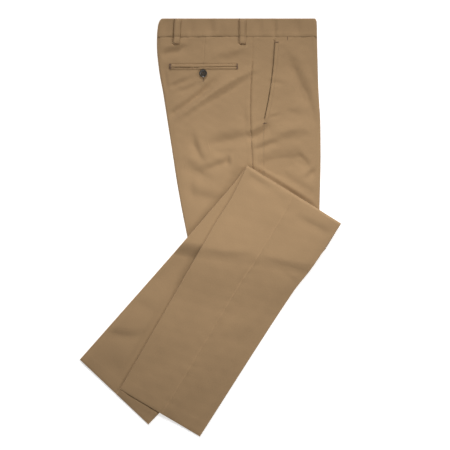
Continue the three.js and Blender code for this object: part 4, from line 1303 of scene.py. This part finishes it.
band_rows = bar_tack(154.1, 378.0, 90, 6.8, 1.3)
waist_tack = sew("stitches_waist_tack", band_rows, [band_right, *hip_top], thick=0.5)
bpy.data.objects.remove(STITCH)

# %% [markdown]
# ## Twill
# Cotton twill is a diagonal weave. Close up it is a row of fine slanting ribs, from further away only a slight
# unevenness of the yarn. Both follow the cut through its UV map, which is in metres, so a crease or a fold carries
# its weave along. The weave is a node group, because the cloth and the pocket bags both have one.

# %% Weave and yarn as a node group
def new_group(name, inputs, outputs):
    group = bpy.data.node_groups.new(name, "ShaderNodeTree")
    for title, kind, value in inputs:
        socket = group.interface.new_socket(title, in_out="INPUT", socket_type=kind)
        if value is not None:
            socket.default_value = value
    for title, kind in outputs:
        group.interface.new_socket(title, in_out="OUTPUT", socket_type=kind)
    nodes = group.nodes
    return group, nodes.new("NodeGroupInput"), nodes.new("NodeGroupOutput")


weave_group, weave_in, weave_out = new_group(
    "weave_and_yarn",
    [
        ("Cut", "NodeSocketVector", None), ("Ribs", "NodeSocketFloat", 340.0), ("Slubs", "NodeSocketFloat", 900.0),
        ("Clouds", "NodeSocketFloat", 14.0),
    ],
    [("Height", "NodeSocketFloat"), ("Tone", "NodeSocketFloat"), ("Cloud", "NodeSocketFloat")],
)
nodes, links = weave_group.nodes, weave_group.links
slant = nodes.new("ShaderNodeMapping")
slant.inputs["Rotation"].default_value = (0, 0, math.radians(58))
ribs = nodes.new("ShaderNodeTexWave")
ribs.wave_type = "BANDS"
ribs.inputs["Distortion"].default_value = 1.2
ribs.inputs["Detail"].default_value = 1.0
links.new(weave_in.outputs["Cut"], slant.inputs["Vector"])
links.new(slant.outputs["Vector"], ribs.inputs["Vector"])
links.new(weave_in.outputs["Ribs"], ribs.inputs["Scale"])
stretch = nodes.new("ShaderNodeMapping")
stretch.inputs["Scale"].default_value = (1.0, 0.45, 1.0)
slubs = nodes.new("ShaderNodeTexNoise")
slubs.inputs["Detail"].default_value = 3.0
links.new(weave_in.outputs["Cut"], stretch.inputs["Vector"])
links.new(stretch.outputs["Vector"], slubs.inputs["Vector"])
links.new(weave_in.outputs["Slubs"], slubs.inputs["Scale"])
clouds = nodes.new("ShaderNodeTexNoise")
clouds.inputs["Detail"].default_value = 4.0
links.new(weave_in.outputs["Cut"], clouds.inputs["Vector"])
links.new(weave_in.outputs["Clouds"], clouds.inputs["Scale"])
blend = nodes.new("ShaderNodeMath")
blend.operation = "MULTIPLY_ADD"
blend.inputs[1].default_value = 0.45
links.new(ribs.outputs["Fac"], blend.inputs[0])
links.new(slubs.outputs["Fac"], blend.inputs[2])
links.new(blend.outputs["Value"], weave_out.inputs["Height"])
links.new(slubs.outputs["Fac"], weave_out.inputs["Tone"])
links.new(clouds.outputs["Fac"], weave_out.inputs["Cloud"])
print("weave group sockets", [s.name for s in weave_group.interface.items_tree])


# %% Cloth material
def cloth(name, dark, light, ribs_scale, rough=0.92, sheen=0.35, bump=0.25):
    material = bpy.data.materials.new(name)
    material.use_nodes = True
    nodes, links = material.node_tree.nodes, material.node_tree.links
    shader = nodes["Principled BSDF"]
    uv = nodes.new("ShaderNodeUVMap")
    uv.uv_map = "cut"
    weave = nodes.new("ShaderNodeGroup")
    weave.node_tree = weave_group
    weave.inputs["Ribs"].default_value = ribs_scale
    links.new(uv.outputs["UV"], weave.inputs["Cut"])
    tone = nodes.new("ShaderNodeMapRange")
    tone.inputs["From Min"].default_value = 0.28
    tone.inputs["From Max"].default_value = 0.72
    links.new(weave.outputs["Tone"], tone.inputs["Value"])
    colour = nodes.new("ShaderNodeMix")
    colour.data_type = "RGBA"
    colour.inputs["A"].default_value = (*dark, 1)
    colour.inputs["B"].default_value = (*light, 1)
    links.new(tone.outputs["Result"], colour.inputs["Factor"])
    cloudy = nodes.new("ShaderNodeMapRange")
    cloudy.inputs["From Min"].default_value = 0.35
    cloudy.inputs["From Max"].default_value = 0.65
    cloudy.inputs["To Min"].default_value = 0.975
    cloudy.inputs["To Max"].default_value = 1.025
    links.new(weave.outputs["Cloud"], cloudy.inputs["Value"])
    shade = nodes.new("ShaderNodeMix")
    shade.data_type = "RGBA"
    shade.blend_type = "MULTIPLY"
    shade.inputs["Factor"].default_value = 1.0
    links.new(colour.outputs["Result"], shade.inputs["A"])
    links.new(cloudy.outputs["Result"], shade.inputs["B"])
    links.new(shade.outputs["Result"], shader.inputs["Base Color"])
    ribs_bump = nodes.new("ShaderNodeBump")
    ribs_bump.inputs["Strength"].default_value = bump
    ribs_bump.inputs["Distance"].default_value = 0.0003
    links.new(weave.outputs["Height"], ribs_bump.inputs["Height"])
    links.new(ribs_bump.outputs["Normal"], shader.inputs["Normal"])
    shader.inputs["Roughness"].default_value = rough
    shader.inputs["Specular IOR Level"].default_value = 0.15
    shader.inputs["Sheen Weight"].default_value = sheen
    shader.inputs["Sheen Roughness"].default_value = 0.6
    shader.inputs["Sheen Tint"].default_value = (1.0, 0.93, 0.84, 1)
    return material


twill = cloth("tan_twill", (0.368, 0.236, 0.124), (0.400, 0.260, 0.138), 340, sheen=0.12)
pocketing = cloth("pocketing", (0.42, 0.33, 0.24), (0.50, 0.41, 0.31), 500, sheen=0.1)


# %% Thread and horn
def plain(name, colour, rough, coat=0.0):
    material = bpy.data.materials.new(name)
    material.use_nodes = True
    shader = material.node_tree.nodes["Principled BSDF"]
    shader.inputs["Base Color"].default_value = (*colour, 1)
    shader.inputs["Roughness"].default_value = rough
    shader.inputs["Coat Weight"].default_value = coat
    return material, shader


seam_thread, _ = plain("seam_thread", (0.30, 0.19, 0.11), 0.7)
tack_thread, _ = plain("tack_thread", (0.19, 0.115, 0.068), 0.7)
# Dark thread: the button's own thread colour, and painted shade on the lower belt-loop bar tacks.
dark_thread_and_painted_shade, _ = plain("dark_thread_and_painted_shade", (0.09, 0.055, 0.03), 0.6)
horn, horn_shader = plain("polished_horn", (0.035, 0.024, 0.018), 0.3, coat=0.2)
nodes, links = horn.node_tree.nodes, horn.node_tree.links
place_node = nodes.new("ShaderNodeTexCoord")
grain = nodes.new("ShaderNodeTexNoise")
grain.inputs["Scale"].default_value = 260.0
grain.inputs["Detail"].default_value = 3.0
grain.inputs["Distortion"].default_value = 1.5
ramp = nodes.new("ShaderNodeValToRGB")
ramp.color_ramp.elements[0].position = 0.38
ramp.color_ramp.elements[0].color = (0.022, 0.017, 0.012, 1)
ramp.color_ramp.elements[1].position = 0.68
ramp.color_ramp.elements[1].color = (0.085, 0.068, 0.050, 1)
links.new(place_node.outputs["Object"], grain.inputs["Vector"])
links.new(grain.outputs["Fac"], ramp.inputs["Fac"])
links.new(ramp.outputs["Color"], horn_shader.inputs["Base Color"])

# %% [markdown]
# ## What each piece stands for
# The trousers have no joint, so every piece rides on the one body. The table also lists how large each cloth piece
# was cut and what it lies on, and each piece gets the material of its cloth.

# %% Ride and replace
SHEETS = [
    # piece, nodes it stands for, cut width and length in millimetres, what it lies on
    (back_panel, ["right_back_hip"], BACK_WIDTH, HIP_LENGTH, ["hidden_hip_layers"]),
    (front_panel, ["right_front_hip"], FRONT_WIDTH, HIP_LENGTH, ["hidden_hip_layers"]),
    (facing, ["right_pocket_facing"], FACING_WIDTH, HIP_LENGTH, ["hidden_hip_layers"]),
    (left_back_panel, ["left_back_hip"], LEFT_WIDTH, HIP_LENGTH, []),
    (left_front_panel, ["left_front_hip"], LEFT_WIDTH, HIP_LENGTH, []),
    (pocket_bags, ["hidden_hip_layers"], 590.0, BAG_LENGTH, ["left_back_hip", "left_front_hip"]),
    (band_right, ["waistband_right"], BAND_WIDTH, BAND_HIGH + 16, ["waistband_left"]),
    (band_left, ["waistband_left"], LEFT_BAND_WIDTH, BAND_HIGH, []),
    (right_back_leg, ["right_back_leg"], LEG_CUT, LEG_CUT_LENGTH, ["left_back_leg"]),
    (right_front_leg, ["right_front_leg"], LEG_CUT, LEG_CUT_LENGTH, ["left_front_leg"]),
    (left_back_leg, ["left_back_leg"], LEG_CUT, LEG_CUT_LENGTH, ["hidden_fold_layers"]),
    (left_front_leg, ["left_front_leg"], LEG_CUT, LEG_CUT_LENGTH, ["hidden_fold_layers"]),
    (left_between, ["hidden_fold_layers"], HIDDEN_CUT, HIDDEN_LENGTH, ["right_back_hip"]),
    (right_between, [], HIDDEN_CUT, HIDDEN_LENGTH, ["right_back_hip"]),
    (loops["belt_loop_right_back"], ["belt_loop_right_back"], LOOP_WIDTH + 1, 64.0, ["waistband_right"]),
    (loops["belt_loop_right_side"], ["belt_loop_right_side"], LOOP_WIDTH + 1, 64.0, ["waistband_right"]),
    (welt_upper, ["back_pocket_welt_upper"], 138.5, 10.0, ["right_back_hip"]),
    (welt_lower, ["back_pocket_welt_lower"], 138.5, 10.0, ["right_back_hip"]),
]


for piece, stands_for, width, length, under in SHEETS:
    piece.data.materials.clear()
    piece.data.materials.append(pocketing if piece is pocket_bags else twill)
    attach(piece, "root")
    if stands_for:
        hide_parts(*stands_for)

button.data.materials.append(horn)
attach(button, "root")
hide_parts("back_pocket_button")
for row in stitch_pieces:
    row.data.materials.append(seam_thread)
    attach(row, "root")
# The dark thread on the lower loop tacks is painted shade under the loops' ends.
dark_rows = [(button_thread, dark_thread_and_painted_shade), (loop_tacks_painted_shade, dark_thread_and_painted_shade), (bar_tacks, tack_thread), (waist_tack, tack_thread)]
for row, thread in dark_rows:
    row.data.materials.append(thread)
    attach(row, "root")

# %% [markdown]
# ## Floor, light and camera
# The photo is taken straight down on a white ground, with one large soft light. The brightest cloth is in the
# middle right and it falls off towards the hems at the lower left, so the light hangs over the upper right. The
# floor glows a little, which keeps the ground white where the light falls off.

# %% Floor
deselect()
bpy.ops.mesh.primitive_plane_add(size=8, location=(0, 0, -0.0004))
floor = bpy.context.object
floor.name = "floor"
floor_paper, paper_shader = plain("floor_paper", (0.9, 0.9, 0.9), 0.9)
paper_shader.inputs["Specular IOR Level"].default_value = 0.0
paper_shader.inputs["Emission Color"].default_value = (1, 1, 1, 1)
paper_shader.inputs["Emission Strength"].default_value = 0.6
floor.data.materials.append(floor_paper)


# %% Light
def soft_light(name, place, target, size, power):
    deselect()
    bpy.ops.object.light_add(type="AREA", location=place)
    lamp = bpy.context.object
    lamp.name = name
    lamp.data.shape = "DISK"
    lamp.data.size = size
    lamp.data.energy = power
    aim = np.array(target) - np.array(place)
    level = math.hypot(aim[0], aim[1])
    lamp.rotation_euler = (math.atan2(level, -aim[2]), 0, math.atan2(aim[1], aim[0]) - math.pi / 2)
    return lamp


overhead = soft_light("overhead_light", (0.075, 0.07, 0.37), (0.075, 0.07, 0), 0.5, 0.99)


def far_light(name, height, side, energy):
    """Light from far away: height above the floor and side, both in degrees. Side 0 is from the right."""
    deselect()
    bpy.ops.object.light_add(type="SUN", location=(0, 0, 1.2))
    lamp = bpy.context.object
    lamp.name = name
    lamp.data.energy = energy
    lamp.data.angle = math.radians(18)
    lamp.rotation_euler = (math.radians(90 - height), 0, math.radians(side + 90))
    return lamp


window = far_light("window_light", 25, 97, 1.95)
side = far_light("side_light", 28, 12, 0.95)
world = bpy.data.worlds.new("studio")
world.use_nodes = True
world.node_tree.nodes["Background"].inputs["Color"].default_value = (1.0, 1.0, 1.0, 1)
world.node_tree.nodes["Background"].inputs["Strength"].default_value = 0.12
bpy.context.scene.world = world

# %% Camera and colour
CAMERA_PLACE = (0.0295, 0.0055, 2.5)
camera_data = bpy.data.cameras.new("straight_down")
camera_data.lens = 100
camera_data.sensor_width = 36
camera = bpy.data.objects.new("straight_down", camera_data)
camera.location = CAMERA_PLACE
bpy.context.collection.objects.link(camera)
bpy.context.scene.camera = camera
bpy.context.scene.view_settings.view_transform = "Standard"
